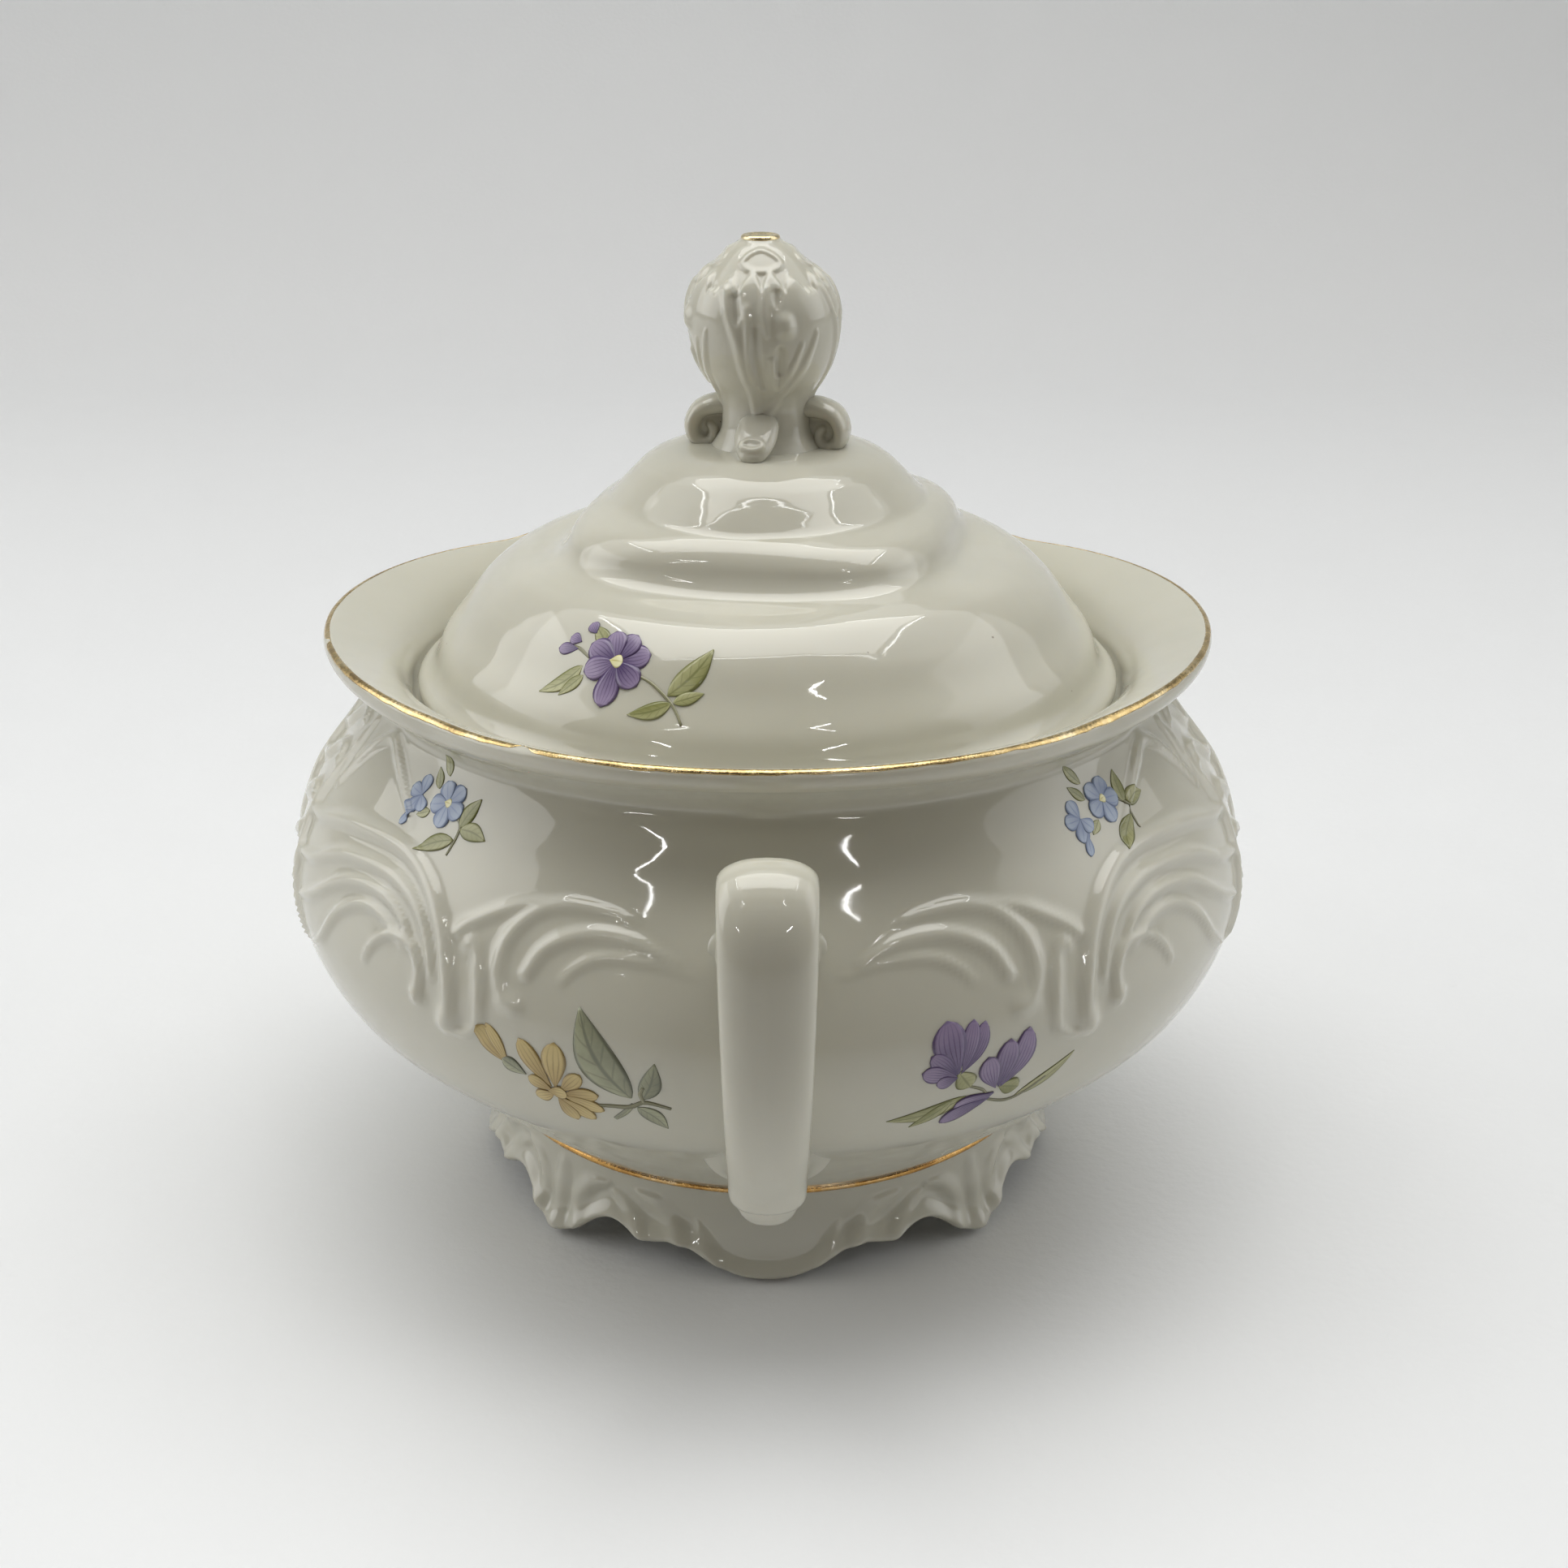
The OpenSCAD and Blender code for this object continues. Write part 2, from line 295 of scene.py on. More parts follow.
# Moulded scrollwork of one quarter of the belly: (knots as degrees from the handle and height,
# half width, height, share of the width left at each end). It is mirrored into all four quarters.
BELLY_SCROLLS = [
    ([(74, 51.2), (70, 51.8), (64, 53.4), (58, 54.4), (49, 54.9), (42.5, 53.4), (38, 50), (35.8, 45.5),
      (35.2, 41.6)], 1.65, 0.81, (0.7, 0.8)),
    ([(73, 46.4), (67, 48), (61, 50.6), (56, 51.8), (48.5, 52.4), (42.6, 51), (39.2, 47.8), (38, 44.6)],
     1.45, 0.72, (0.6, 0.45)),
    ([(70, 42.4), (65, 44.4), (57, 48.9), (50, 50.4), (44.8, 49.4), (41.3, 46.4)], 1.25, 0.68, (0.5, 0.4)),
    ([(64, 38.8), (60, 41.4), (56, 46), (50.8, 48.5), (46, 48), (42.8, 46)], 1.15, 0.59, (0.4, 0.4)),
    ([(39.9, 42.2), (40, 45), (42, 47), (45.4, 47), (48, 45.2), (49.4, 42.8)], 0.95, 0.64, (1, 0.5)),
    ([(39.8, 41.9), (40, 42.3)], 1.5, 0.75, (1, 1)),
    ([(35.4, 41.2), (35.6, 40.2)], 2.0, 0.8, (1, 1)),
    ([(32.6, 49.5), (31.6, 46), (31.2, 42.4)], 1.1, 0.55, (0.5, 0.8)),
    ([(31.2, 42.4), (31.6, 40.7), (33.4, 39.6), (35.4, 39.8)], 0.9, 0.5, (1, 0.8)),
    ([(9.4, 50.6), (11.7, 51.6), (14.5, 52.4), (18.4, 52.6), (21.9, 51.8), (24.5, 50.2), (26, 47.6)],
     1.35, 0.53, (0.35, 0.7)),
    ([(14.5, 53.9), (17, 54.4), (22, 54.6), (26, 53.6), (28.7, 51), (29.4, 47.5), (28.2, 44.8)],
     1.35, 0.53, (0.35, 0.7)),
    ([(28, 44.6), (27.2, 44.3)], 1.9, 0.46, (1, 1)),
    ([(25.4, 54.6), (29.9, 53.2), (34.2, 51), (35.6, 49.8)], 1.3, 0.43, (0.4, 0.9)),
    ([(33.4, 49.6), (33.6, 49.1)], 1.5, 0.37, (1, 1)),
    ([(21.8, 47.6), (20.6, 49.1), (17.5, 50.6), (12.4, 50.7), (7.7, 49.6)], 0.95, 0.34, (0.6, 0.3)),
    ([(49, 56.6), (52, 58.3), (56, 60), (60, 61.4), (63, 62.2), (66, 61.2), (68.5, 59.2), (70.4, 57),
      (71.6, 55)], 1.15, 0.65, (0.3, 0.6)),
    ([(72.8, 62), (73.4, 58), (74.2, 54), (74.4, 49), (73.4, 44), (71.4, 40.4), (68, 37.8)],
     1.2, 0.8, (0.4, 0.4)),
    ([(90, 61), (90, 57)], 1.7, 0.8, (0.6, 0.9)),
    ([(90, 56.4), (86.4, 57.6), (82.6, 60.2), (79.6, 61.4), (77.4, 60.4)], 1.25, 0.75, (0.8, 0.6)),
    ([(90, 53), (85.6, 53.6), (81.6, 56.2), (78.6, 57), (77.2, 55.4)], 1.25, 0.75, (0.8, 0.6)),
    ([(90, 48.6), (86, 48.6), (82.4, 50.6), (79.6, 52.2), (77.8, 51)], 1.25, 0.75, (0.8, 0.6)),
    ([(90, 43.8), (86.6, 43.6), (83, 45), (80, 46.8), (78, 46.2)], 1.15, 0.7, (0.8, 0.6)),
    ([(90, 58), (90, 38)], 1.3, 0.85, (0.9, 0.5)),
    ([(90, 37.6), (90, 36.6)], 1.9, 0.7, (1, 1)),
    ([(86, 40.4), (82, 39.6), (78, 41), (76.4, 43.2)], 0.95, 0.55, (0.8, 0.5)),
]

# Scrolls and shells of one eighth of the foot skirt, from the middle lobe (0) to a corner foot (45).
FOOT_SCROLLS = [
    ([(17, 4.0), (19, 6.2), (22, 8.0), (26, 8.8)], 1.9, 0.4, (0.8, 0.4)),
    ([(25, 3.8), (26.5, 5.6), (29.5, 7.2), (32, 7.8)], 1.6, 0.4, (0.9, 0.4)),
    ([(33.5, 8.6), (37, 7.9), (39.6, 5.8), (40, 3.4), (38.6, 2.0)], 2.0, 0.5, (0.5, 0.9)),
    ([(45, 9.6), (45, 5), (45, 1)], 2.2, 0.55, (0.5, 1)),
    ([(9.5, 2.2), (12, 4.0), (13.6, 6.4)], 1.5, 0.3, (0.8, 0.4)),
]
# Height of the skirt's lower edge, from the middle of a lobe (0 degrees) to a corner foot (45).
EDGE_ANGLES = [0, 4, 7, 10, 12.5, 15, 18, 20.5, 22.5, 24.5, 26.5, 29, 31.5, 34, 36.5, 39, 41.5, 45]
EDGE_HEIGHTS = [0, 0.1, 0.6, 1.5, 2.3, 3.0, 3.4, 3.2, 2.8, 2.7, 3.2, 4.1, 4.4, 4.1, 3.0, 1.6, 0.5, 0]

# Curled leaf of one quarter of the bud: (knots as degrees from its middle and height, ...).
BUD_VEINS = [
    ([(-31, 109.6), (-25, 106.8), (-20, 104), (-17, 100.4), (-12, 97.4), (-6, 95.2)], 0.95, 0.3, (0.9, 0.7)),
    ([(-12, 108), (-11, 105), (-13, 101.6), (-10, 98.4), (-4, 95.4)], 0.8, 0.25, (0.8, 0.7)),
    ([(6, 102), (8, 99.2), (14, 98.6), (23, 101), (30, 103.8)], 0.85, 0.3, (0.8, 0.5)),
    ([(43, 105), (34, 101.2), (22, 98), (9, 95.4)], 0.9, 0.28, (0.5, 0.7)),
    ([(16, 106.4), (17, 105.6)], 1.5, 0.5, (1, 1)),
    ([(2, 110), (1, 107.4), (3, 104.8)], 0.8, 0.25, (0.9, 0.4)),
]
BUD_HOLLOWS = [
    ([(-22, 108.8), (-20, 106.2)], 0.9, 0.4, (1, 0.5)),
    ([(-6, 105.8), (-6, 102), (-1, 98.6)], 0.9, 0.35, (0.8, 0.5)),
    ([(13, 103.2), (12, 100.6)], 0.9, 0.4, (0.8, 0.8)),
    ([(12, 109.4), (11, 108.2)], 0.8, 0.35, (1, 0.6)),
]
CAP_RING = ([(-26, 112.3), (-18, 113.1), (0, 113.5), (18, 113.1), (26, 112.3), (16, 111.7), (0, 111.5),
             (-16, 111.7), (-26, 112.3)], 0.6, 0.25, (1, 1))


def relief(points, strokes, radius_at):
    """The highest of the strokes at each point."""
    total = np.zeros(len(points))
    for knots, half_width, height, taper in strokes:
        path = surface_path(knots, radius_at)
        total = np.maximum(total, ridge(points, path, half_width, height, taper))
    return total


class ReliefMap:
    """Strokes sampled once over a quarter of a turned surface, and read in all four quarters."""

    def __init__(self, strokes, radius_at, low, high, rows=260, columns=340):
        self.low, self.high = low, high
        height, angle = np.meshgrid(
            np.linspace(low, high, rows), np.linspace(0, math.pi / 2, columns), indexing="ij")
        points = turned(radius_at(height), height, angle).reshape(-1, 3)
        self.grid = relief(points, strokes, radius_at).reshape(rows, columns)

    def __call__(self, points):
        rows, columns = self.grid.shape
        angle = np.arctan2(np.abs(points[..., 0]), np.abs(points[..., 1]))
        c = angle / (math.pi / 2) * (columns - 1)
        r = np.clip((points[..., 2] - self.low) / (self.high - self.low), 0, 1) * (rows - 1)
        r0 = np.minimum(r.astype(int), rows - 2)
        c0 = np.minimum(c.astype(int), columns - 2)
        r, c = r - r0, c - c0
        g = self.grid
        top = g[r0 + 1, c0] * (1 - c) + g[r0 + 1, c0 + 1] * c
        return (g[r0, c0] * (1 - c) + g[r0, c0 + 1] * c) * (1 - r) + top * r


# ---------------------------------------------------------------- bowl

COLUMNS = 600
BOWL_OUTSIDE = spline([
    (LINE_R, FOOT_H), (39.4, 15.6), (46.5, 22), (BELLY_R - 3.5, 30), (BELLY_R, 40), (BELLY_R - 2.5, 50),
    (50, 58), (46.6, 62.8), (46.8, 64.6), (48.8, 66.4), (RIM_R + 0.6, 69.2),
])
FLARE_INSIDE = spline([
    (42.6, SEAT_Z), (42.9, 64.2), (44.4, 66.8), (47.2, 68.8), (RIM_R + 0.6, 71.4),
])
BELLY_INSIDE = spline([
    (39.8, SEAT_Z - 0.4), (40, 60.6), (44.5, 56), (BELLY_R - 6.2, 51), (BELLY_R - 3.2, 40),
    (BELLY_R - 6.5, 31), (44, 23), (34, 16.8), (20, 14.9), (0.4, 14.6),
])
LIP_IN = 1.15
LIP_STEPS = 12
NECK_Z = 64.0


def lip_radius(angle):
    """The four-lobed plan of the rim: circles about four centres, their notches softened."""
    lobe = np.radians((np.degrees(angle) + 45) % 90 - 45)
    notch = 2.9
    shift = (RIM_R ** 2 - (RIM_R - notch) ** 2) / (2 * (RIM_R - (RIM_R - notch) * math.cos(math.pi / 4)))
    lobe_r = RIM_R - shift
    plan = shift * np.cos(lobe) + np.sqrt(lobe_r ** 2 - (shift * np.sin(lobe)) ** 2)
    return softened(plan, 1.9)


def until_radius(curve, radius, steps):
    """Rows along a curve for each column, from its start to the column's own radius."""
    s = run_length(curve)
    stop = np.interp(radius, curve[:, 0], s)
    at = stop[None, :] * np.linspace(0, 1, steps)[:, None]
    return np.stack([np.interp(at, s, curve[:, 0]), np.interp(at, s, curve[:, 1])], axis=-1)


def lip_arc(angle):
    """Rounded edge of the lip for each angle, from the underside over the crest to the upper face."""
    stop = lip_radius(angle) - LIP_IN
    under, upper = (np.stack([stop, np.interp(stop, face[:, 0], face[:, 1])], axis=-1)
                    for face in (BOWL_OUTSIDE[-48:], FLARE_INSIDE))
    middle = (under + upper) / 2
    half = (upper - under) / 2
    outward = np.array([LIP_IN, LIP_IN * 0.42])
    turn = np.linspace(math.pi, 0, LIP_STEPS + 2)[:, None, None]
    return middle[None] + half[None] * np.cos(turn) + outward * np.sin(turn)


belly_radius = radius_on(BOWL_OUTSIDE[BOWL_OUTSIDE[:, 1] <= SEAT_Z])
belly_relief = ReliefMap(BELLY_SCROLLS, belly_radius, FOOT_H, NECK_Z)


def outline_frame(curve, height):
    """Radius and outward normal (radial, upward) of an outline at each height."""
    slope = unit(np.gradient(curve, axis=0))
    return [np.interp(height, curve[:, 1], column) for column in (curve[:, 0], slope[:, 1], -slope[:, 0])]


def make_bowl(material):
    angle = around(COLUMNS)
    plain = BOWL_OUTSIDE[BOWL_OUTSIDE[:, 1] <= NECK_Z]
    heights = np.concatenate([
        np.linspace(FOOT_H, 34, 18)[:-1],
        respaced(plain[plain[:, 1] > 33.5], 80)[:, 1],
    ])
    radius, out, up = outline_frame(BOWL_OUTSIDE, heights)
    base = turned(radius[:, None], heights[:, None], angle[None, :])
    raised = belly_relief(base)
    push = turned(out[:, None] * raised, up[:, None] * raised, angle[None, :])
    belly = base + push

    stop = lip_radius(angle) - LIP_IN
    flare = BOWL_OUTSIDE[np.searchsorted(BOWL_OUTSIDE[:, 1], heights[-1]):]
    under = until_radius(flare, stop, 9)[1:]
    lip = lip_arc(angle)[1:-1]
    upper = until_radius(FLARE_INSIDE, stop, 12)[::-1]
    seat = np.array([(42.0, SEAT_Z - 0.12), (40.6, SEAT_Z - 0.05)])
    inside = respaced(BELLY_INSIDE, 27)
    floor = np.array([(0.6, FOOT_H + 0.6), (14, FOOT_H + 0.5), (26, FOOT_H + 0.2), (33, FOOT_H)])
    edge = [turned(part[..., 0], part[..., 1], angle[None, :]) for part in (under, lip, upper)]
    well = [turned_outline(part, angle) for part in (seat, inside)]
    rings = np.concatenate([turned_outline(floor, angle), belly, *edge, *well])
    height_map = np.zeros(rings.shape[:2])
    height_map[len(floor):len(floor) + len(belly)] = raised
    make_skin("bowl_body", "bowl", "porcelain", material, "bowl_shell", rings, height_map)


# ---------------------------------------------------------------- foot


def foot_angle(angle):
    """The angle from the nearest middle lobe, in degrees from 0 to 45."""
    a = np.abs(np.degrees(angle)) % 90
    return np.minimum(a, 90 - a)


def make_foot(material):
    wall, edge_round, joint_r = 2.5, 0.75, 31.8
    angle = around(560)
    eighth = foot_angle(angle)
    edge = np.maximum(softened(np.interp(eighth, EDGE_ANGLES, EDGE_HEIGHTS), 1.5), 0)
    outline = spline([
        (FOOT_R + 0.1, -0.6), (FOOT_R - 0.1, 0.8), (FOOT_R - 0.6, 3), (35.2, 5.6), (34.7, 8.4), (34.7, 10.9),
        (34.75, FOOT_H),
    ])
    rise = np.linspace(1, 0, 42)[:, None]
    heights = edge[None, :] + edge_round + (FOOT_H - edge_round - edge[None, :]) * rise
    radius_at = radius_on(outline)
    base = turned(radius_at(heights), heights, angle[None, :])
    flat = turned(radius_at(heights), heights, np.radians(eighth)[None, :])
    raised = relief(flat.reshape(-1, 3), FOOT_SCROLLS, radius_at).reshape(heights.shape)
    above = heights - edge[None, :]
    bead = 0.4 * smoothstep(above, 2.6, 0.7)
    dip = 0.3 * smoothstep(eighth, 9, 15)[None, :] * np.exp(-((above - 3.4) / 1.4) ** 2)
    fade = smoothstep(heights, 10.6, 8.6)
    lift = (raised + bead - dip) * fade
    outer = base + turned(lift, 0 * lift, angle[None, :])
    last = np.linalg.norm(outer[-1, :, :2], axis=1)
    turn = np.linspace(0, math.pi, 9)[1:-1, None]
    under_r = last - wall / 2 + wall / 2 * np.cos(turn)
    under_z = edge + edge_round - edge_round * np.sin(turn)
    under = turned(under_r, under_z, angle[None, :])
    back = np.linspace(0, 1, 10)[:, None]
    inner_r = (last - wall) * (1 - back) + joint_r * back
    inner_z = (edge + edge_round) * (1 - back) + FOOT_H * back
    inner = turned(inner_r, inner_z, angle[None, :])
    rings = np.concatenate([outer, under, inner])
    tone = np.zeros(rings.shape[:2])
    tone[:len(outer)] = lift
    make_skin("foot_skirt_scrolled", "bowl", "porcelain", material, "foot_skirt", rings, tone, wrap=True)


# ---------------------------------------------------------------- handles


def strap(mesh, path, half_w, half_t, power=0.62, crown=0.0, across=(1, 0, 0), sides=44):
    """A flat strap swept along a path, with its own half width and half thickness at each point."""
    path = np.asarray(path, float)
    across = np.asarray(across, float)
    out = unit(np.cross(unit(np.gradient(path, axis=0)), across))
    turn = around(sides)
    u = np.sign(np.cos(turn)) * np.abs(np.cos(turn)) ** power
    v = np.sign(np.sin(turn)) * np.abs(np.sin(turn)) ** power
    v = v * (1 + crown * (1 - u ** 2))
    rings = (path[:, None] + across * (u * half_w[:, None])[..., None]
             + out[:, None] * (v * half_t[:, None])[..., None])
    mesh.loft(rings)


def rounded_end(t, start):
    """1 along the strap, falling to 0 over its end as a rounded tip does."""
    return np.sqrt(np.clip(1 - np.clip((t - start) / (1 - start), 0, 0.999) ** 2.4, 0, 1))


def make_handle(name, node, side, material):
    """One strap handle; side is -1 for the front one and 1 for the rear one."""
    def lay(points):
        points = np.asarray(points, float)
        return np.stack([np.zeros(len(points)), side * points[:, 0], points[:, 1]], axis=1)

    mesh = Mesh()
    route = respaced(spline([
        (48.5, 46.6), (52.2, 49.2), (55.8, 53), (59.8, 58), (63, 62.2), (66.2, 65), (69, 64.4),
        (REACH + 0.1, 60.6), (REACH + 0.2, 54), (REACH - 0.6, 46), (REACH - 3.2, 38), (63.6, 31.6),
        (61.3, 27.2),
    ]), 110)
    t = np.linspace(0, 1, len(route))
    distance = run_length(route)
    flare = np.exp(-distance / 3.4)
    end = rounded_end(t, 0.955)
    half_w = (4.8 - 0.85 * smoothstep(t, 0.35, 1) + 2.4 * flare) * (0.45 + 0.55 * end)
    half_t = (1.95 + 1.9 * flare - 0.1 * t) * end + 0.02
    strap(mesh, lay(route), half_w, half_t, crown=0.35)

    tongue = respaced(spline([(60.8, 30.4), (59.2, 27), (57.4, 24), (56.2, 21.5)]), 40)
    t = np.linspace(0, 1, len(tongue))
    end = rounded_end(t, 0.5)
    strap(mesh, lay(tongue), 3.2 * end + 0.02, 1.55 * end + 0.02, power=0.8)

    root = respaced(spline([(46, 26.2), (50, 26.8), (54, 27.6), (61.6, 29)]), 40)
    distance = run_length(root) - 3.6
    flare = np.exp(-np.clip(distance, -1, None) / 3.4)
    half_w = 3.4 + 2.9 * flare
    half_t = 2.6 + 2.0 * flare
    strap(mesh, lay(root), half_w, half_t, power=0.85)

    for turn in (-1, 1):
        curl = respaced(spline([
            (turn * 3.2, 52.6, 53.2), (turn * 5.0, 53, 52.8), (turn * 5.7, 54, 50.2), (turn * 5.0, 55, 48),
        ]), 24)
        curl[:, 1] *= side
        t = np.linspace(0, 1, len(curl))
        thick = 0.95 * np.sqrt(np.clip(np.sin(math.pi * (0.12 + 0.83 * t)), 0, 1)) + 0.02
        strap(mesh, curl, thick, thick, power=1.0, across=(0, side * 0.7, 0.7), sides=18)
    obj = fused(mesh.object(name), 0.28, 4)
    finish_piece(obj, "bowl", "porcelain", material, node)


# ---------------------------------------------------------------- lid

# Outline of the lid from the top down: radius and height over a corner, then over a flat if they differ.
LID_OUTLINE = spline([point * (4 // len(point)) for point in (
    (2.0, LID_TOP), (5.6, LID_TOP - 0.05), (10, 90.9), (12.4, 90.4, 12.4, 90.3), (14.3, 89.4, 14.3, 89.3),
    (16.3, 87.6, 16.2, 87.5), (17.9, 86.0, 17.8, 85.8), (19.0, 85.1, 18.6, 84.9),
    (20.8, 84.5, 19.6, 84.4), (22.9, 83.7, 20.7, 83.6), (24.5, 82.4, 21.6, 82.4),
    (25.3, 81.1, 22.3, 80.8), (26.2, 80.2, 23.3, 79.5), (27.6, 79.5, 25.0, 78.85),
    (29.3, 78.7, 27.8, 78.55), (31.2, 77.6, 30.8, 77.5), (33.8, 75.2), (36.3, 72), (38.6, 69),
    (39.7, 66.2), (40.5, 65.2), (BRIM_R - 0.75, 64.75), (BRIM_R - 0.1, 64.2), (BRIM_R, 63.6),
    (BRIM_R - 0.3, 62.95), (BRIM_R - 1, BRIM_Z),
)])
LID_INSIDE = spline([
    (COLLAR_R - 2.6, BRIM_Z), (34.2, 68.4), (30, 72.4), (23.6, 75.8), (17.6, 77.4), (14.6, 81), (11, 84.8),
    (7, 87), (0.4, 87.6),
])


def squared(angle, ratio):
    """A rounded square's radius over its flat distance: 1 over the flats, ratio over the corners."""
    power = 1 / np.maximum(0.5 - np.log2(ratio), 0.02)
    c, s = np.abs(np.cos(angle)) + 1e-9, np.abs(np.sin(angle)) + 1e-9
    return (c ** power + s ** power) ** (-1 / power)


def lid_rings(rows, angle):
    """Rings of the lid's outer face for rows of the outline."""
    corner_r, corner_z, flat_r, flat_z = (rows[:, k, None] for k in range(4))
    ratio = np.maximum(corner_r / flat_r, 1.0001)
    shape = squared(angle[None, :] - LID_TURN, ratio)
    share = np.clip((shape - 1) / (ratio - 1), 0, 1) * (ratio > 1.001)
    return turned(flat_r * shape, flat_z + (corner_z - flat_z) * share, angle[None, :])


def make_lid(material):
    angle = around(480)
    outer = lid_rings(respaced(LID_OUTLINE, 118), angle)
    inside = respaced(LID_INSIDE, 24)
    inner = turned_outline(inside, angle)
    make_skin("lid_dome", "lid", "porcelain", material, "lid_shell", np.concatenate([outer, inner]))


def make_collar(material):
    """The locating ring under the lid, with rounded edges and a slight taper."""
    low, high = collar_low[2], collar_high[2]
    outline = respaced(spline([
        (COLLAR_R, high), (COLLAR_R, high - 1.5), (COLLAR_R - 0.15, low + 1), (COLLAR_R - 0.5, low + 0.25),
        (COLLAR_R - 1.2, low), (COLLAR_R - 1.9, low + 0.25), (COLLAR_R - 2.3, low + 1),
        (COLLAR_R - 2.6, high - 1.5), (COLLAR_R - 2.6, high),
    ]), 36)
    rings = turned_outline(outline, around(240))
    make_skin("lid_collar_ring", "lid", "porcelain", material, "lid_collar", rings, wrap=True)


# ---------------------------------------------------------------- finial

BUD_OUTLINE = spline([
    (7.0, LID_TOP - 0.6), (5.9, 91.9), (5.35, 92.9), (5.05, 94.2), (5.0, 95.6), (5.5, 97.2), (6.7, 99),
    (7.7, 101), (8.3, 104), (8.15, 107), (7.2, 109.6), (5.7, 111.4), (4.4, 112.7), (3.3, 113.6),
    (2.4, 114.15), (2.0, TIP_Z - 0.05),
])
BUD_LEAN = -0.8


bud_radius = radius_on(BUD_OUTLINE)


def leaned(points):
    """The finial leans a little to the left, as hand-luted ones do."""
    points = np.array(points, float)
    points[..., 0] += BUD_LEAN * np.clip((points[..., 2] - LID_TOP) / (TIP_Z - LID_TOP), 0, 1)
    return points


def make_bud(material):
    angle = around(288)
    outline = respaced(BUD_OUTLINE, 120)
    heights = outline[:, 1]
    twist = math.radians(-9) * smoothstep(heights, 99, 93)
    base = turned_outline(outline, angle)
    leaf = (np.degrees(angle[None, :] - twist[:, None]) + 45) % 90 - 45
    local = turned(outline[:, :1], heights[:, None], np.radians(leaf)).reshape(-1, 3)
    veins, hollows, ring = (relief(local, strokes, bud_radius).reshape(leaf.shape)
                            for strokes in (BUD_VEINS, BUD_HOLLOWS, [CAP_RING]))
    tops = np.full(leaf.shape, 108.8)
    for middle, top, width in ((9.3, 111.6, 10.5), (29.5, 111.2, 11.5), (43, 109.8, 8)):
        tops = np.maximum(tops, top - 2.0 * ((np.abs(leaf) - middle) / width) ** 2)
    shell = 0.6 * smoothstep(tops - heights[:, None], -0.1, 0.6)
    shell *= 0.25 + 0.75 * smoothstep(heights[:, None], 99, 109)
    neck = smoothstep(heights, 92.5, 95)[:, None]
    raised = shell * neck + veins * neck * smoothstep(tops - heights[:, None], 0, 0.8) - hollows + ring
    push = turned(raised, 0 * raised, angle[None, :])
    make_skin("finial_leaf_bud", "lid", "porcelain", material, "finial_bud", leaned(base + push), raised)


def make_volutes(material):
    """Four scrolls about the neck: rolled ones at the sides, tongues with an eye front and back."""
    mesh = Mesh()
    scroll = spline([
        (4.2, 95.5), (6.2, 95.4), (7.9, 94.7), (8.75, 93.2), (8.5, 91.7), (7.4, 91.0), (6.35, 91.6),
        (6.35, 92.8), (7.2, 93.3),
    ], 8)
    tongue = spline([(3.6, 95.2), (5.4, 94.3), (7.2, 93.0), (8.7, 91.8), (9.8, 90.8)], 8)
    for quarter in range(4):
        angle = LID_TURN + quarter * math.pi / 2
        across = np.array([math.cos(angle), math.sin(angle), 0])
        side = quarter % 2 == 1
        line = scroll if side else tongue
        path = turned(line[:, 0], line[:, 1], angle)
        t = np.linspace(0, 1, len(path))
        if side:
            half_w = 1.9 + 0.5 * np.sin(math.pi * np.clip(t * 1.5, 0, 1)) - 0.4 * smoothstep(t, 0.6, 1)
            half_t = 1.3 - 0.7 * t
        else:
            swell = np.sqrt(np.clip(1 - ((t - 0.5) / 0.51) ** 2, 0, 1))
            half_w, half_t = (2.9 - 1.0 * t) * swell, 1.2 * swell
        end = np.sqrt(np.clip(1 - np.clip((t - 0.9) / 0.1, 0, 0.98) ** 2, 0, 1))
        strap(mesh, path, half_w * end + 0.02, half_t * end + 0.02, power=1.0, across=across, sides=28)
        if side:
            plug = turned(np.linspace(4.4, 8.3, 9), 92.8, angle)
            strap(mesh, plug, np.full(9, 0.8), np.full(9, 1.6), power=1.0, across=across, sides=20)
        else:
            eye = np.linspace(0, 2 * math.pi, 33)
            ring = (turned(9.0, 92.65, angle) + across * (1.2 * np.cos(eye))[:, None]
                    + turned(-0.52, 0.44, angle) * np.sin(eye)[:, None])
            tube(mesh, ring[:-1], 0.42)
    obj = fused(mesh.object("finial_scrolls"), 0.14, 3)
    finish_piece(obj, "lid", "porcelain", material, "finial_volutes")


def tube(mesh, loop, radius, sides=14):
    """A round tube along a closed loop."""
    loop = np.asarray(loop, float)
    along = unit(np.roll(loop, -1, axis=0) - np.roll(loop, 1, axis=0))
    out = loop - loop.mean(axis=0)
    out = unit(out - along * np.einsum("ij,ij->i", out, along)[:, None])
    side = np.cross(along, out)
    c, s = np.cos(around(sides))[:, None], np.sin(around(sides))[:, None]
    mesh.tube_ring(loop[:, None] + radius * (out[:, None] * c + side[:, None] * s))


# ---------------------------------------------------------------- gilding


def wander(angle, seed, waves=(7, 13, 29, 53)):
    """A smooth irregular line round the axis, about -1 to 1, the same in every run."""
    total = np.zeros(len(angle))
    for i, n in enumerate(waves):
        total += np.sin(n * angle + seed * (1.7 + i) + i * i) / (1 + 0.5 * i)
    return total / 2.2


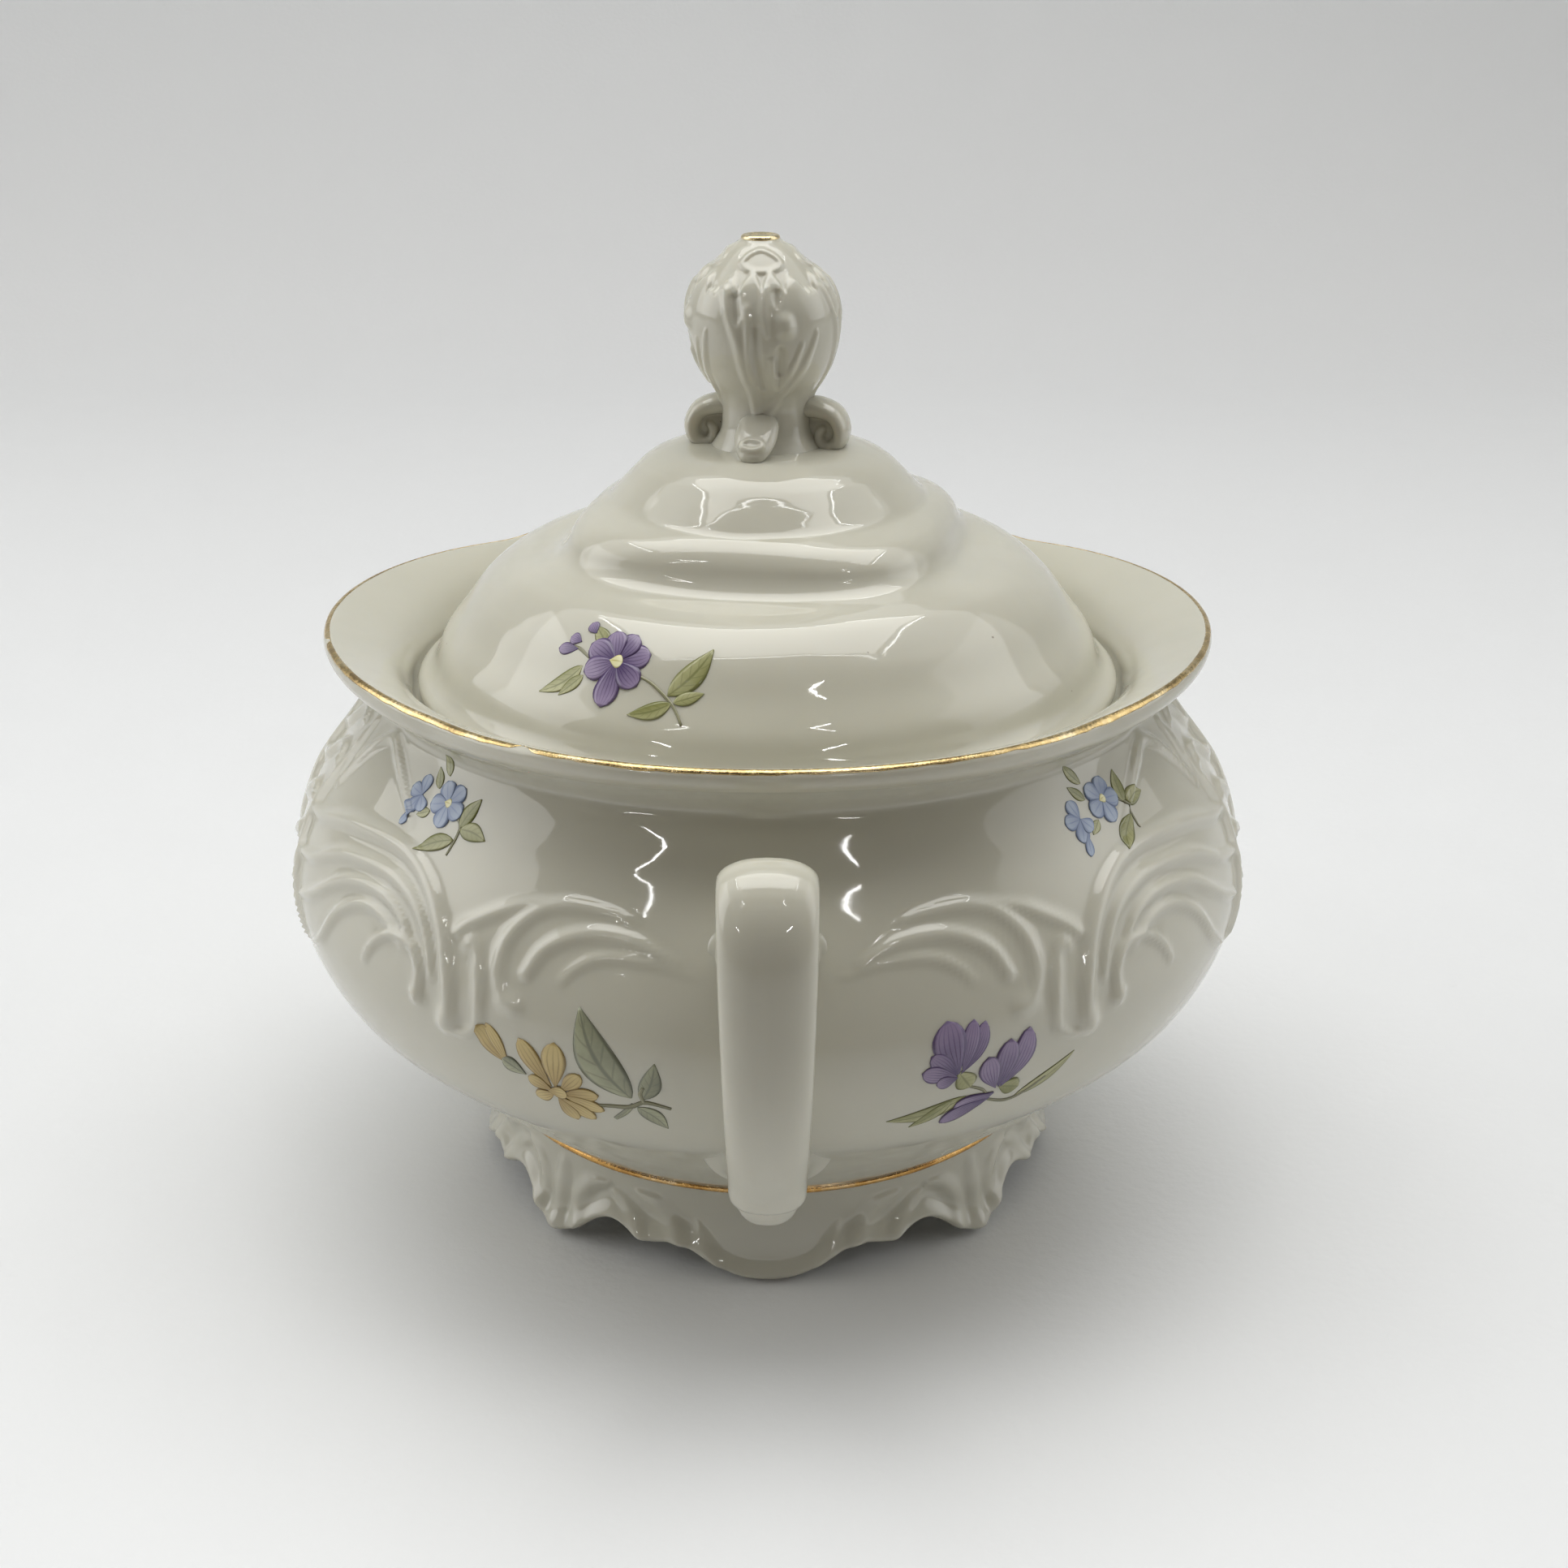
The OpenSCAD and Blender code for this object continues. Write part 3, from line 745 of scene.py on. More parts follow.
def make_rim_gold(material):
    angle = around(720)
    arc = lip_arc(angle)
    turn = np.linspace(math.pi, 0, len(arc))
    low = math.radians(62) + 0.10 * wander(angle, 1.3) + 0.05 * wander(angle, 4.1, (71, 97, 131))
    high = math.radians(17) + 0.05 * wander(angle, 2.7)
    for worn_at, worn_width in ((331, 1.1), (283, 0.8)):
        low -= 0.75 * np.exp(-((np.degrees(angle) - worn_at) / worn_width) ** 2)
    steps = 10
    share = np.linspace(0, 1, steps)[:, None]
    at = low[None, :] * (1 - share) + high[None, :] * share
    rows = np.empty((steps, len(angle), 2))
    for column in range(len(angle)):
        for k in (0, 1):
            rows[:, column, k] = np.interp(at[:, column], turn[::-1], arc[::-1, column, k])
    step = np.gradient(rows, axis=0)
    normal = unit(np.stack([step[..., 1], -step[..., 0]], axis=-1))
    belly = np.sqrt(np.clip(1 - (2 * share - 1) ** 2, 0, 1))[..., None]
    front = rows + normal * (0.05 * belly + 0.012)
    back = (rows - normal * 0.10 * belly)[::-1][1:-1]
    section = np.concatenate([front, back])
    rings = turned(section[..., 0], section[..., 1], angle[None, :])
    make_skin("rim_gold_line", "bowl", "gold", material, "rim_gilding", rings, wrap=True)


def make_foot_gold(material):
    angle = around(480)
    (_, _, low), (_, _, high) = node_box("foot_gilding")
    film_r, film_rise, sunk_r = 34.82, 0.22, 34.4
    share = np.linspace(-1, 1, 9)[:, None]
    middle = (low + high) / 2 - 0.05
    half = (high - low) / 2 * (1 + 0.12 * wander(angle, 0.4))[None, :]
    height = middle + half * share
    bulge = np.sqrt(np.clip(1 - share ** 2, 0, 1))
    front_r = film_r + film_rise * bulge + 0 * height
    back_r = (sunk_r + 0 * height)[::-1][1:-1]
    radius = np.concatenate([front_r, back_r])
    rings = turned(radius, np.concatenate([height, height[::-1][1:-1]]), angle[None, :])
    make_skin("foot_gold_line", "bowl", "gold", material, "foot_gilding", rings, wrap=True)


def make_tip_gold(material):
    """The gilded tip: a shallow dish inside a raised rim."""
    low = TIP_Z - 0.5
    top = node_box("finial_gilding")[1][2]
    outline = spline([
        (0.2, top - 0.28), (1.1, top - 0.2), (1.6, top - 0.05), (1.95, top - 0.05), (2.16, top - 0.22),
        (2.2, top - 0.45), (1.9, low), (0.2, low - 0.1),
    ], 5)
    rings = leaned(turned_outline(outline, around(72)))
    make_skin("finial_gold_tip", "lid", "gold", material, "finial_gilding", rings)


# ---------------------------------------------------------------- fired sprays


PAINT_LIFT = 0.035
PAINT_STEP = 0.006
PAINT_SUNK = 0.02
GOLDEN_SHARE = 0.618


class Ground:
    """A glazed surface that sprays lie on: places given in millimetres right and up from an origin."""

    def __init__(self, outline, lift):
        self.outline = outline
        self.s = run_length(outline)
        self.lift = lift

    def place(self, origin, right, up, height):
        """Points at right and up from origin (degrees, height), raised by height over the glaze."""
        start = np.interp(origin[1], self.outline[:, 1], self.s)
        s = start + up
        radius = np.interp(s, self.s, self.outline[:, 0])
        z = np.interp(s, self.s, self.outline[:, 1])
        home = np.interp(start, self.s, self.outline[:, 0])
        angle = math.radians(origin[0]) + right / home
        slope = unit(np.gradient(self.outline, axis=0))
        out = np.interp(s, self.s, slope[:, 1])
        upward = -np.interp(s, self.s, slope[:, 0])
        base = turned(radius, z, angle)
        total = height + self.lift(base)
        return base + turned(out * total, upward * total, angle)


class Spray:
    """Flowers, leaves and stems laid on a ground; each paint gathers its own mesh."""

    def __init__(self, ground, origin, paints, turn):
        self.ground = ground
        self.origin = origin
        self.paints = paints
        self.turn = math.radians(turn)
        self.level = 0

    def draw(self, strokes):
        """Lays strokes given as (kind, paint, row of numbers, ...), in order."""
        brushes = {"leaf": self.leaf, "petal": self.petal, "stem": self.stem, "rosette": self.rosette}
        for kind, paint, *rows in strokes:
            for row in rows:
                brushes[kind](paint, *row)

    def patch(self, paint, right, up, along, across):
        """A thin closed patch over a grid of points, one level over the last one."""
        self.level += 1
        c, s = math.cos(self.turn), math.sin(self.turn)
        right, up = right * c - up * s, right * s + up * c
        top = self.ground.place(self.origin, right, up, PAINT_LIFT + PAINT_STEP * self.level)
        low = self.ground.place(self.origin, right, up, -PAINT_SUNK)
        rows, columns = right.shape
        faces = grid_faces(rows, columns, wrap_columns=False)
        under = faces[:, ::-1] + rows * columns
        edge = np.concatenate([
            np.arange(columns), np.arange(1, rows) * columns + columns - 1,
            (rows - 1) * columns + np.arange(columns - 2, -1, -1), np.arange(rows - 2, 0, -1) * columns,
        ])
        nxt = np.roll(edge, -1)
        sides = np.stack([nxt, edge, edge + rows * columns, nxt + rows * columns], axis=1)
        points = np.concatenate([top.reshape(-1, 3), low.reshape(-1, 3)])
        shade = (self.level * GOLDEN_SHARE) % 1
        self.paints[paint].add(
            points, [faces, under, sides], along=np.tile(along.ravel(), 2),
            across=np.tile(across.ravel(), 2), shade=shade,
        )

    def leaf(self, paint, x0, y0, x1, y1, half_width, bend=0.0, rows=13, columns=7, pointed=True):
        """A leaf from one point to another, or with a blunt tip a petal."""
        base, tip = np.array((x0, y0), float), np.array((x1, y1), float)
        t = np.linspace(0.0, 1.0, rows)[:, None]
        v = np.linspace(-1, 1, columns)[None, :]
        length = np.linalg.norm(tip - base)
        axis = (tip - base) / length
        side = np.array([-axis[1], axis[0]])
        if pointed:
            width = np.sin(math.pi * t ** 0.8) ** 0.9
        else:
            width = np.sin(math.pi * t ** 1.55) ** 0.62
        width = half_width * np.maximum(width, 0.04)
        curve = bend * np.sin(math.pi * t)
        x = base[0] + axis[0] * length * t + side[0] * (curve + width * v)
        y = base[1] + axis[1] * length * t + side[1] * (curve + width * v)
        self.patch(paint, x, y, t + 0 * v, v + 0 * t)

    def petal(self, paint, *row):
        self.leaf(paint, *row, pointed=False)

    def stem(self, paint, half_width, *knots):
        """A thin brushed line through the knots."""
        line = respaced(spline(knots, 8), 16)
        along = unit(np.gradient(line, axis=0))
        side = np.stack([-along[:, 1], along[:, 0]], axis=1)
        t = np.linspace(0, 1, len(line))[:, None]
        v = np.array([[-1.0, 0.0, 1.0]])
        width = half_width * (0.55 + 0.6 * np.sin(math.pi * (0.1 + 0.8 * t)))
        x = line[:, :1] + side[:, :1] * width * v
        y = line[:, 1:] + side[:, 1:] * width * v
        self.patch(paint, x, y, t + 0 * v, v + 0 * t)

    def rosette(self, paint, x, y, eye, *petals):
        """Petals round a point, given as (direction in degrees, length, half width), and their eye."""
        for direction, length, half_width in petals:
            a = math.radians(direction)
            self.petal(paint, x, y, x + length * math.cos(a), y + length * math.sin(a), half_width)
        if eye:
            self.petal("pollen", x - eye, y, x + eye, y, eye * 0.95)


# Strokes of each spray. Leaf and petal: base, tip, half width and bend, then rows and columns. Stem: half
# width and knots. Rosette: centre, eye and petals. Everything is in millimetres right and up.
VIOLET_SPRAY = [  # a violet flower with buds
    ("leaf", "leaf", (-1.8, 1.6, -4.4, 3.6, 0.9)),
    ("stem", "stem", (0.16, (-3.4, -0.2), (-5.2, 0.6), (-6.4, 0.6))),
    ("leaf", "leaf", (-3.9, -1.2, -7.9, -5.2, 1.0, 0.5), (-3.4, -2.2, -5.4, -5.0, 0.7)),
    ("petal", "violet", (-5.3, 0.5, -7.9, 0.0, 0.75), (-5.3, 1.4, -7.0, 1.6, 0.75),
     (-3.9, 2.7, -5.2, 3.8, 0.75)),
    ("stem", "stem", (0.16, (2.2, -1), (4.6, -1.8), (7.2, -3.9), (8.5, -6.1))),
    ("leaf", "leaf", (6.6, -3.0, 10.7, 2.6, 1.35, -0.35), (7.1, -3.8, 2.9, -5.6, 0.95, 0.3),
     (7.3, -3.7, 10.3, -2.4, 0.75)),
    ("rosette", "violet", (0, 0, 0.8, (20, 4.0, 1.45), (66, 3.7, 1.4), (112, 3.7, 1.4), (160, 4.1, 1.5),
                           (208, 3.9, 1.45), (268, 5.3, 1.4), (322, 3.9, 1.45))),
]
OCHRE_SPRAY = [  # a yellow flower half turned away, with a bud and one large grey-green leaf
    ("leaf", "shadow_leaf", (8.5, 1.1, 3.1, 10.9, 2.3, 0.9, 18, 9), (9.7, 1.1, 11.2, 5.9, 1.15, -0.3),
     (9.0, -0.2, 11.9, -3.4, 1.1, 0.4)),
    ("stem", "shadow_leaf", (0.3, (8.6, 0.2), (7.6, -1.2), (6.2, -2.7))),
    ("stem", "stem", (0.24, (3.6, -1), (6, -0.6), (8.2, -0.3), (9.9, 0.7), (12.6, 0.1)),
     (0.2, (9.8, 0.6), (9.5, 1.8), (9.9, 2.8))),
    ("petal", "ochre", (-5.0, 2.5, -8.5, 6.6, 1.25, 0.2), (-5.2, 2.3, -7.6, 6.9, 0.75, -0.3)),
    ("petal", "shadow_leaf", (-3.2, 1.7, -5.9, 3.1, 1.0)),
    ("petal", "ochre", (-0.4, 0.8, -3.6, 6.2, 1.15), (0.1, 0.8, 0.5, 6.6, 1.4), (0.6, 0.4, 3.2, 3.2, 0.95),
     (0.8, 0.1, 4.9, 0.7, 0.95), (0.8, -0.2, 5.2, -1.6, 0.95), (-0.4, 0.3, -3.0, 1.5, 0.95),
     (-0.2, -0.2, -2.6, -1.3, 0.9), (0.4, -0.6, 3.9, -3.4, 1.0), (0.1, -0.6, 1.6, -4.2, 1.0),
     (-0.9, 0.1, 1.3, 0.1, 0.95)),
]
CROCUS_SPRAY = [  # two nodding violet cups with green calyxes
    ("leaf", "leaf", (-1.4, -1.9, -10, -4.2, 1.15, 0.8), (-3.0, -2.2, -7.2, -5.9, 0.85, 0.2),
     (5.0, -3.9, 11.6, 0.6, 0.85, -0.4)),
    ("stem", "stem", (0.16, (-1.4, -0.4), (0.4, -1.4), (1.2, -2.6)),
     (0.2, (1.0, -3.0), (3.6, -4.2), (5.6, -3.9), (8.4, -1.9))),
    ("petal", "leaf", (-2.9, 1.9, -1.2, -0.5, 1.25)),
    ("petal", "violet", (-2.6, 1.6, 0.1, 7.2, 0.95, -0.35), (-2.4, 1.8, -1.2, 7.6, 1.0),
     (-2.8, 1.7, -4.2, 7.9, 1.9, 0.4), (-2.9, 1.6, -6.0, 4.3, 1.1), (-3.0, 1.4, -6.9, 2.4, 1.1),
     (-2.9, 1.2, -5.2, 0.6, 0.85)),
    ("petal", "leaf", (2.2, -1.3, 4.9, -2.2, 1.2)),
    ("petal", "violet", (2.4, -1.5, 5.3, 5.4, 1.35, -0.5), (2.2, -1.4, 3.0, 4.6, 1.4),
     (1.9, -1.5, 0.4, 3.0, 1.3, 0.2), (1.9, -2.2, -2.6, -3.4, 1.35, 0.3),
     (1.5, -2.9, -3.7, -5.9, 1.15, -0.3)),
]
BLUE_SPRAY = [  # small forget-me-nots
    ("leaf", "leaf", (-1.7, 2.7, -3.4, 5.6, 0.7), (-2.4, 1.0, -3.9, 3.2, 0.65),
     (-2.2, -1.6, -4.0, -2.6, 0.6)),
    ("stem", "stem", (0.14, (1.6, -0.8), (3.1, -2.0), (2.9, -5.2))),
    ("leaf", "leaf", (3.1, -1.9, 4.4, 1.7, 1.0, 0.2), (3.2, -2.1, 7.0, -2.4, 1.05, 0.3),
     (2.9, -3.4, -1.4, -6.0, 1.0, -0.3)),
    ("rosette", "blue", (-4.6, -0.4, 0, (100, 2.4, 0.95), (172, 2.3, 0.95), (244, 2.7, 0.95),
                         (300, 2.0, 0.95))),
    ("petal", "blue", (-4.8, -2.2, -5.9, -4.4, 0.55)),
    ("rosette", "blue", (0, 0, 0.55, (54, 2.7, 1.15), (126, 2.7, 1.15), (198, 2.7, 1.15), (270, 2.9, 1.15),
                         (342, 2.7, 1.15))),
]


def make_sprays(paint_materials):
    """Every spray, twice over: the back repeats the front half a turn round."""
    belly = Ground(BOWL_OUTSIDE[BOWL_OUTSIDE[:, 1] <= NECK_Z], belly_relief)
    dome = Ground(respaced(LID_OUTLINE, 400)[::-1][60:230][:, :2], lambda points: 0.0)
    layouts = (
        ("bowl", belly, ((OCHRE_SPRAY, -22.6, 35.0, 0), (CROCUS_SPRAY, 22.6, 36.6, 0),
                         (BLUE_SPRAY, -44.6, 59.9, 0), (BLUE_SPRAY, 47.6, 59.7, 8))),
        ("lid", dome, ((VIOLET_SPRAY, -27.8, 74.5, 0),)),
    )
    for body, ground, sprays in layouts:
        meshes = {name: Mesh() for name in paint_materials}
        for back in (0, 180):
            for strokes, degrees, height, turn in sprays:
                Spray(ground, (degrees + back, height), meshes, turn).draw(strokes)
        for name, mesh in meshes.items():
            if mesh.count:
                obj = mesh.object(f"{body}_spray_{name}")
                finish_piece(obj, body, "porcelain", paint_materials[name])


# ---------------------------------------------------------------- materials


class Nodes:
    """Short names for building the nodes of a material or a world."""

    def __init__(self, owner):
        self.owner = owner
        owner.use_nodes = True
        self.tree = owner.node_tree

    def new(self, kind, **inputs):
        node = self.tree.nodes.new(kind)
        for key, value in inputs.items():
            self.put(node.inputs[key.replace("_", " ")], value)
        return node

    def put(self, socket, value):
        if isinstance(value, bpy.types.NodeSocket):
            self.tree.links.new(value, socket)
        else:
            socket.default_value = value

    def surface(self, colour, roughness, bump_height, bump_distance):
        """Sets the linked inputs of the shader and returns it for its plain ones."""
        shader = self.tree.nodes["Principled BSDF"]
        self.put(shader.inputs["Base Color"], colour)
        self.put(shader.inputs["Roughness"], roughness)
        self.put(shader.inputs["Normal"],
                 self.new("ShaderNodeBump", Height=bump_height, Distance=bump_distance).outputs["Normal"])
        return shader

    def camera_ray(self):
        return self.new("ShaderNodeLightPath").outputs["Is Camera Ray"]

    def place(self):
        return self.new("ShaderNodeTexCoord").outputs["Object"]

    def noise(self, scale, detail=3.0, rough=0.5):
        return self.new("ShaderNodeTexNoise", Vector=self.place(), Scale=scale, Detail=detail,
                        Roughness=rough).outputs["Fac"]

    def value(self, name):
        node = self.tree.nodes.new("ShaderNodeAttribute")
        node.attribute_name = name
        return node.outputs["Fac"]

    def math(self, operation, a, b=0.0):
        node = self.tree.nodes.new("ShaderNodeMath")
        node.operation = operation
        self.put(node.inputs[0], a)
        self.put(node.inputs[1], b)
        return node.outputs[0]

    def ramp(self, factor, stops):
        node = self.tree.nodes.new("ShaderNodeValToRGB")
        elements = node.color_ramp.elements
        while len(elements) < len(stops):
            elements.new(0.5)
        for element, (position, colour) in zip(elements, stops):
            element.position = position
            element.color = (*colour, 1)
        self.put(node.inputs["Fac"], factor)
        return node.outputs["Color"]

    def times(self, a, b):
        return self.math("MULTIPLY", a, b)

    def plus(self, a, b):
        return self.math("ADD", a, b)

    def span(self, value, low, high, to_low=0.0, to_high=1.0, smooth=False):
        node = self.tree.nodes.new("ShaderNodeMapRange")
        node.interpolation_type = "SMOOTHSTEP" if smooth else "LINEAR"
        self.put(node.inputs["Value"], value)
        for key, number in (("From Min", low), ("From Max", high), ("To Min", to_low), ("To Max", to_high)):
            node.inputs[key].default_value = number
        return node.outputs["Result"]

    def mix(self, factor, a, b):
        node = self.tree.nodes.new("ShaderNodeMix")
        node.data_type = "RGBA"
        self.put(node.inputs["Factor"], factor)
        for key, colour in (("A", a), ("B", b)):
            self.put(node.inputs[key], colour if isinstance(colour, bpy.types.NodeSocket) else (*colour, 1))
        return node.outputs["Result"]


def srgb(code):
    """A hex colour as linear numbers."""
    parts = [int(code[i:i + 2], 16) / 255 for i in (1, 3, 5)]
    return tuple(c / 12.92 if c <= 0.04045 else ((c + 0.055) / 1.055) ** 2.4 for c in parts)


def porcelain_material():
    """Ivory body under a clear glossy glaze: soft mottling, glaze pooled warmer in the hollows, sparse
    dark specks, faint waviness, and a bare rough edge where the foot was wiped clean."""
    n = Nodes(bpy.data.materials.new("ivory_porcelain"))
    mottle = n.noise(38, 4)
    colour = n.ramp(mottle, [(0.3, srgb("#C8C6B8")), (0.7, srgb("#D1CFC2"))])
    pool = n.span(n.value("raised"), 0.05, 0.7, 0.22, 0.0)
    colour = n.mix(pool, colour, srgb("#B9B5A0"))
    specks = n.new("ShaderNodeTexVoronoi", Vector=n.place(), Scale=260).outputs["Distance"]
    rare = n.math("GREATER_THAN", n.noise(900, 1), 0.70)
    speck = n.times(n.math("LESS_THAN", specks, 0.045), rare)
    colour = n.mix(n.times(speck, 0.75), colour, srgb("#6E6453"))
    height = n.new("ShaderNodeSeparateXYZ", Vector=n.place()).outputs["Z"]
    wiped = n.span(n.plus(height, n.times(n.noise(300), 0.0004)), 0.0006, 0.0003)
    colour = n.mix(wiped, colour, srgb("#DAD2C2"))
    gloss = n.plus(n.span(n.noise(120, 2), 0.3, 0.7, 0.03, 0.06), n.times(wiped, 0.5))
    wave = n.plus(n.noise(75, 2), n.times(n.noise(700, 2), 0.03))
    shader = n.surface(colour, gloss, wave, 0.00016)
    shader.inputs["IOR"].default_value = 1.62
    shader.inputs["Subsurface Weight"].default_value = 0.18
    shader.inputs["Subsurface Radius"].default_value = (1.0, 0.8, 0.55)
    shader.inputs["Subsurface Scale"].default_value = 0.0022
    return n.owner


def gold_material(name, bright, worn):
    """Fired gold: brushed round the band, thin and brown where it is worn, pitted with tiny gaps, with
    painted highlight in near-white patches.
    """
    n = Nodes(bpy.data.materials.new(name))
    worn_and_highlight_patches = n.noise(240, 5, 0.65)
    # The palest stop, #FAEAC6, is painted highlight: random patches of the gold are painted near-white as
    # glints.
    colour = n.ramp(worn_and_highlight_patches, [(0.32, srgb(worn)), (0.5, srgb(bright)), (0.8, srgb("#FAEAC6"))])
    shader = n.surface(colour, n.span(n.noise(1500, 3), 0.3, 0.7, 0.16, 0.34), n.noise(2600, 3), 0.00004)
    n.put(shader.inputs["Metallic"], n.span(worn_and_highlight_patches, 0.2, 0.4, 0.8, 1.0))
    return n.owner


def enamel(name, deep, light, line, light_at, grain, washes, strokes):
    """Fired enamel: a wash from deep to light, brushed strokes and a darker outline. washes gives the
    share of the wash from the place, the blots and the patch; strokes(n, along, across, blot) draws."""
    n = Nodes(bpy.data.materials.new("enamel_" + name))
    along, across, shade = n.value("along"), n.value("across"), n.value("shade")
    blot = n.noise(grain, 4, 0.6)
    by_place, by_blot, by_patch = washes
    place, marks = strokes(n, along, across, blot)
    wash = n.plus(n.times(place, by_place), n.times(blot, by_blot))
    wash = n.plus(wash, n.times(n.math("SUBTRACT", shade, 0.5), by_patch))
    colour = n.ramp(wash, [(0.2, srgb(deep)), (light_at, srgb(light))])
    rim = n.span(n.plus(n.math("ABSOLUTE", across), n.times(blot, 0.08)), 0.80, 0.96)
    for mark in marks(rim):
        colour = n.mix(mark, colour, srgb(line))
    shader = n.surface(colour, n.span(blot, 0.3, 0.7, 0.1, 0.17), n.noise(900, 2), 0.00003)
    shader.inputs["IOR"].default_value = 1.5
    return n.owner


def paint_material(name, deep, light, line, veins):
    """A petal: it pales towards the tip and has fine veins along it."""
    def strokes(n, along, across, blot):
        stripe = n.math("SINE", n.plus(n.times(across, veins), n.times(blot, 2.5)))
        vein = n.times(n.span(stripe, 0.55, 0.98), n.span(along, 1.0, 0.35, 0.1, 0.85))
        tip = n.span(along, 0.93, 0.99)
        return along, lambda rim: [vein, n.times(n.math("MAXIMUM", rim, tip), 0.72)]

    return enamel(name, deep, light, line, 0.85, 520, (0.75, 0.45, 0.3), strokes)


def leaf_material(name, deep, light, line):
    """A leaf: one half paler than the other, with a midrib and slanting side veins."""
    def strokes(n, along, across, blot):
        side = n.math("ABSOLUTE", across)
        slant = n.math("SUBTRACT", n.times(along, 34), n.times(side, 8))
        veins = n.times(n.span(n.math("SINE", slant), 0.75, 1.0), 0.45)
        lines = n.math("MAXIMUM", veins, n.span(side, 0.16, 0.05, 0.0, 0.8))
        return n.span(across, -1, 1), lambda rim: [n.times(n.math("MAXIMUM", lines, rim), 0.8)]

    return enamel(name, deep, light, line, 0.8, 480, (0.5, 0.55, 0.35), strokes)


def floor_material():
    """Pale table paper, cooler up the backdrop; in front of the object it is painted dark brown for every
    ray but the camera's, as painted shade on the lower front of the bowl and a painted dark reflection.
    """
    n = Nodes(bpy.data.materials.new("pale_table"))
    place = n.new("ShaderNodeSeparateXYZ", Vector=n.place())
    far = n.span(place.outputs["Z"], 0.02, 0.5)
    # Painted shade and painted reflection: the floor in front of the object is dark brown to reflected and
    # bounced rays and pale to the camera.
    near = n.times(n.span(place.outputs["Y"], -0.085, -0.26), n.span(n.camera_ray(), 1, 0))
    colour = n.mix(far, srgb("#E8E9EA"), srgb("#CDD3D6"))
    colour = n.mix(near, colour, srgb("#6E6558"))
    colour = n.mix(n.times(n.noise(9, 4), 0.08), colour, srgb("#D6D6D6"))
    colour = n.mix(n.span(n.noise(160, 5, 0.7), 0.68, 0.8, 0.0, 0.12), colour, srgb("#C9C9C7"))
    n.surface(colour, n.span(n.noise(60, 3), 0.3, 0.7, 0.5, 0.62), n.noise(700, 3), 0.00008)
    return n.owner


# ---------------------------------------------------------------- stage, lights, camera


def make_stage():
    """A seamless sweep of floor and backdrop."""
    line = spline([(-6, 0), (-1.2, 0), (-0.2, 0), (0.36, 0), (0.52, 0.02), (0.62, 0.12), (0.65, 0.3),
                   (0.65, 1.1)], 10)
    mesh = bpy.data.meshes.new("sweep")
    points = [(x, y, z) for y, z in line for x in (-2.4, 2.4)]
    faces = [(2 * i, 2 * i + 1, 2 * i + 3, 2 * i + 2) for i in range(len(line) - 1)]
    mesh.from_pydata(points, [], faces)
    mesh.polygons.foreach_set("use_smooth", np.ones(len(faces), bool))
    sweep = bpy.data.objects.new("sweep", mesh)
    sweep.data.materials.append(floor_material())
    bpy.context.scene.collection.objects.link(sweep)


def area_light(name, size, power, place, colour=(1, 1, 1)):
    """A rectangular lamp with its place given as a matrix."""
    data = bpy.data.lights.new(name, "AREA")
    data.shape = "RECTANGLE"
    data.size, data.size_y = size
    data.energy = power
    data.color = colour
    light = bpy.data.objects.new(name, data)
    light.matrix_world = place
    bpy.context.scene.collection.objects.link(light)


def panel_light(name, position, target, size, power, colour):
    """A broad lamp that faces the target."""
    turn = (Vector(target) - Vector(position)).to_track_quat("-Z", "Y").to_matrix().to_4x4()
    area_light(name, size, power, Matrix.Translation(position) @ turn, colour)


def bar_light(name, start, end, width, power, target=(0, 0, 0.06)):
    """A thin lamp from start to end that faces the target."""
    start, end = Vector(start), Vector(end)
    middle = (start + end) / 2
    along = (end - start).normalized()
    side = (middle - Vector(target)).cross(along).normalized()
    turn = Matrix((along, side, along.cross(side))).transposed().to_4x4()
    area_light(name, ((end - start).length, width), power, Matrix.Translation(middle) @ turn)


def make_lights():
    """Broad lamps above and at the sides, thin ones that outline the panel, and bars in the dark front."""
    panel_light("overhead", (0, 0.06, 0.80), (0, 0, 0), (0.80, 0.50), 3.15, (1.0, 0.99, 0.96))
    for name, x, power in (("left_wall", -0.75, 1.7), ("right_wall", 0.75, 0.8)):
        panel_light(name, (x, 0.05, 0.35), (0, 0, 0.05), (0.7, 0.6), power, (1, 1, 0.99))
    for y in (-0.20, 0.32):
        bar_light("panel_edge", (-0.40, y, 0.79), (0.40, y, 0.79), 0.007, 0.15)
    for x in (-0.42, 0.42):
        bar_light("panel_end", (x, -0.16, 0.78), (x, 0.28, 0.78), 0.010, 0.15)
    for vertex, end in ((-0.25, -0.33), (0.13, 0.20)):
        for height in (0.63, 0.49):
            bar_light("front_bar", (vertex, -0.42, 0.56), (end, -0.42, height), 0.005, 0.045)
        bar_light("low_bar", (vertex, -0.42, 0.19), (end, -0.42, 0.23), 0.005, 0.05)


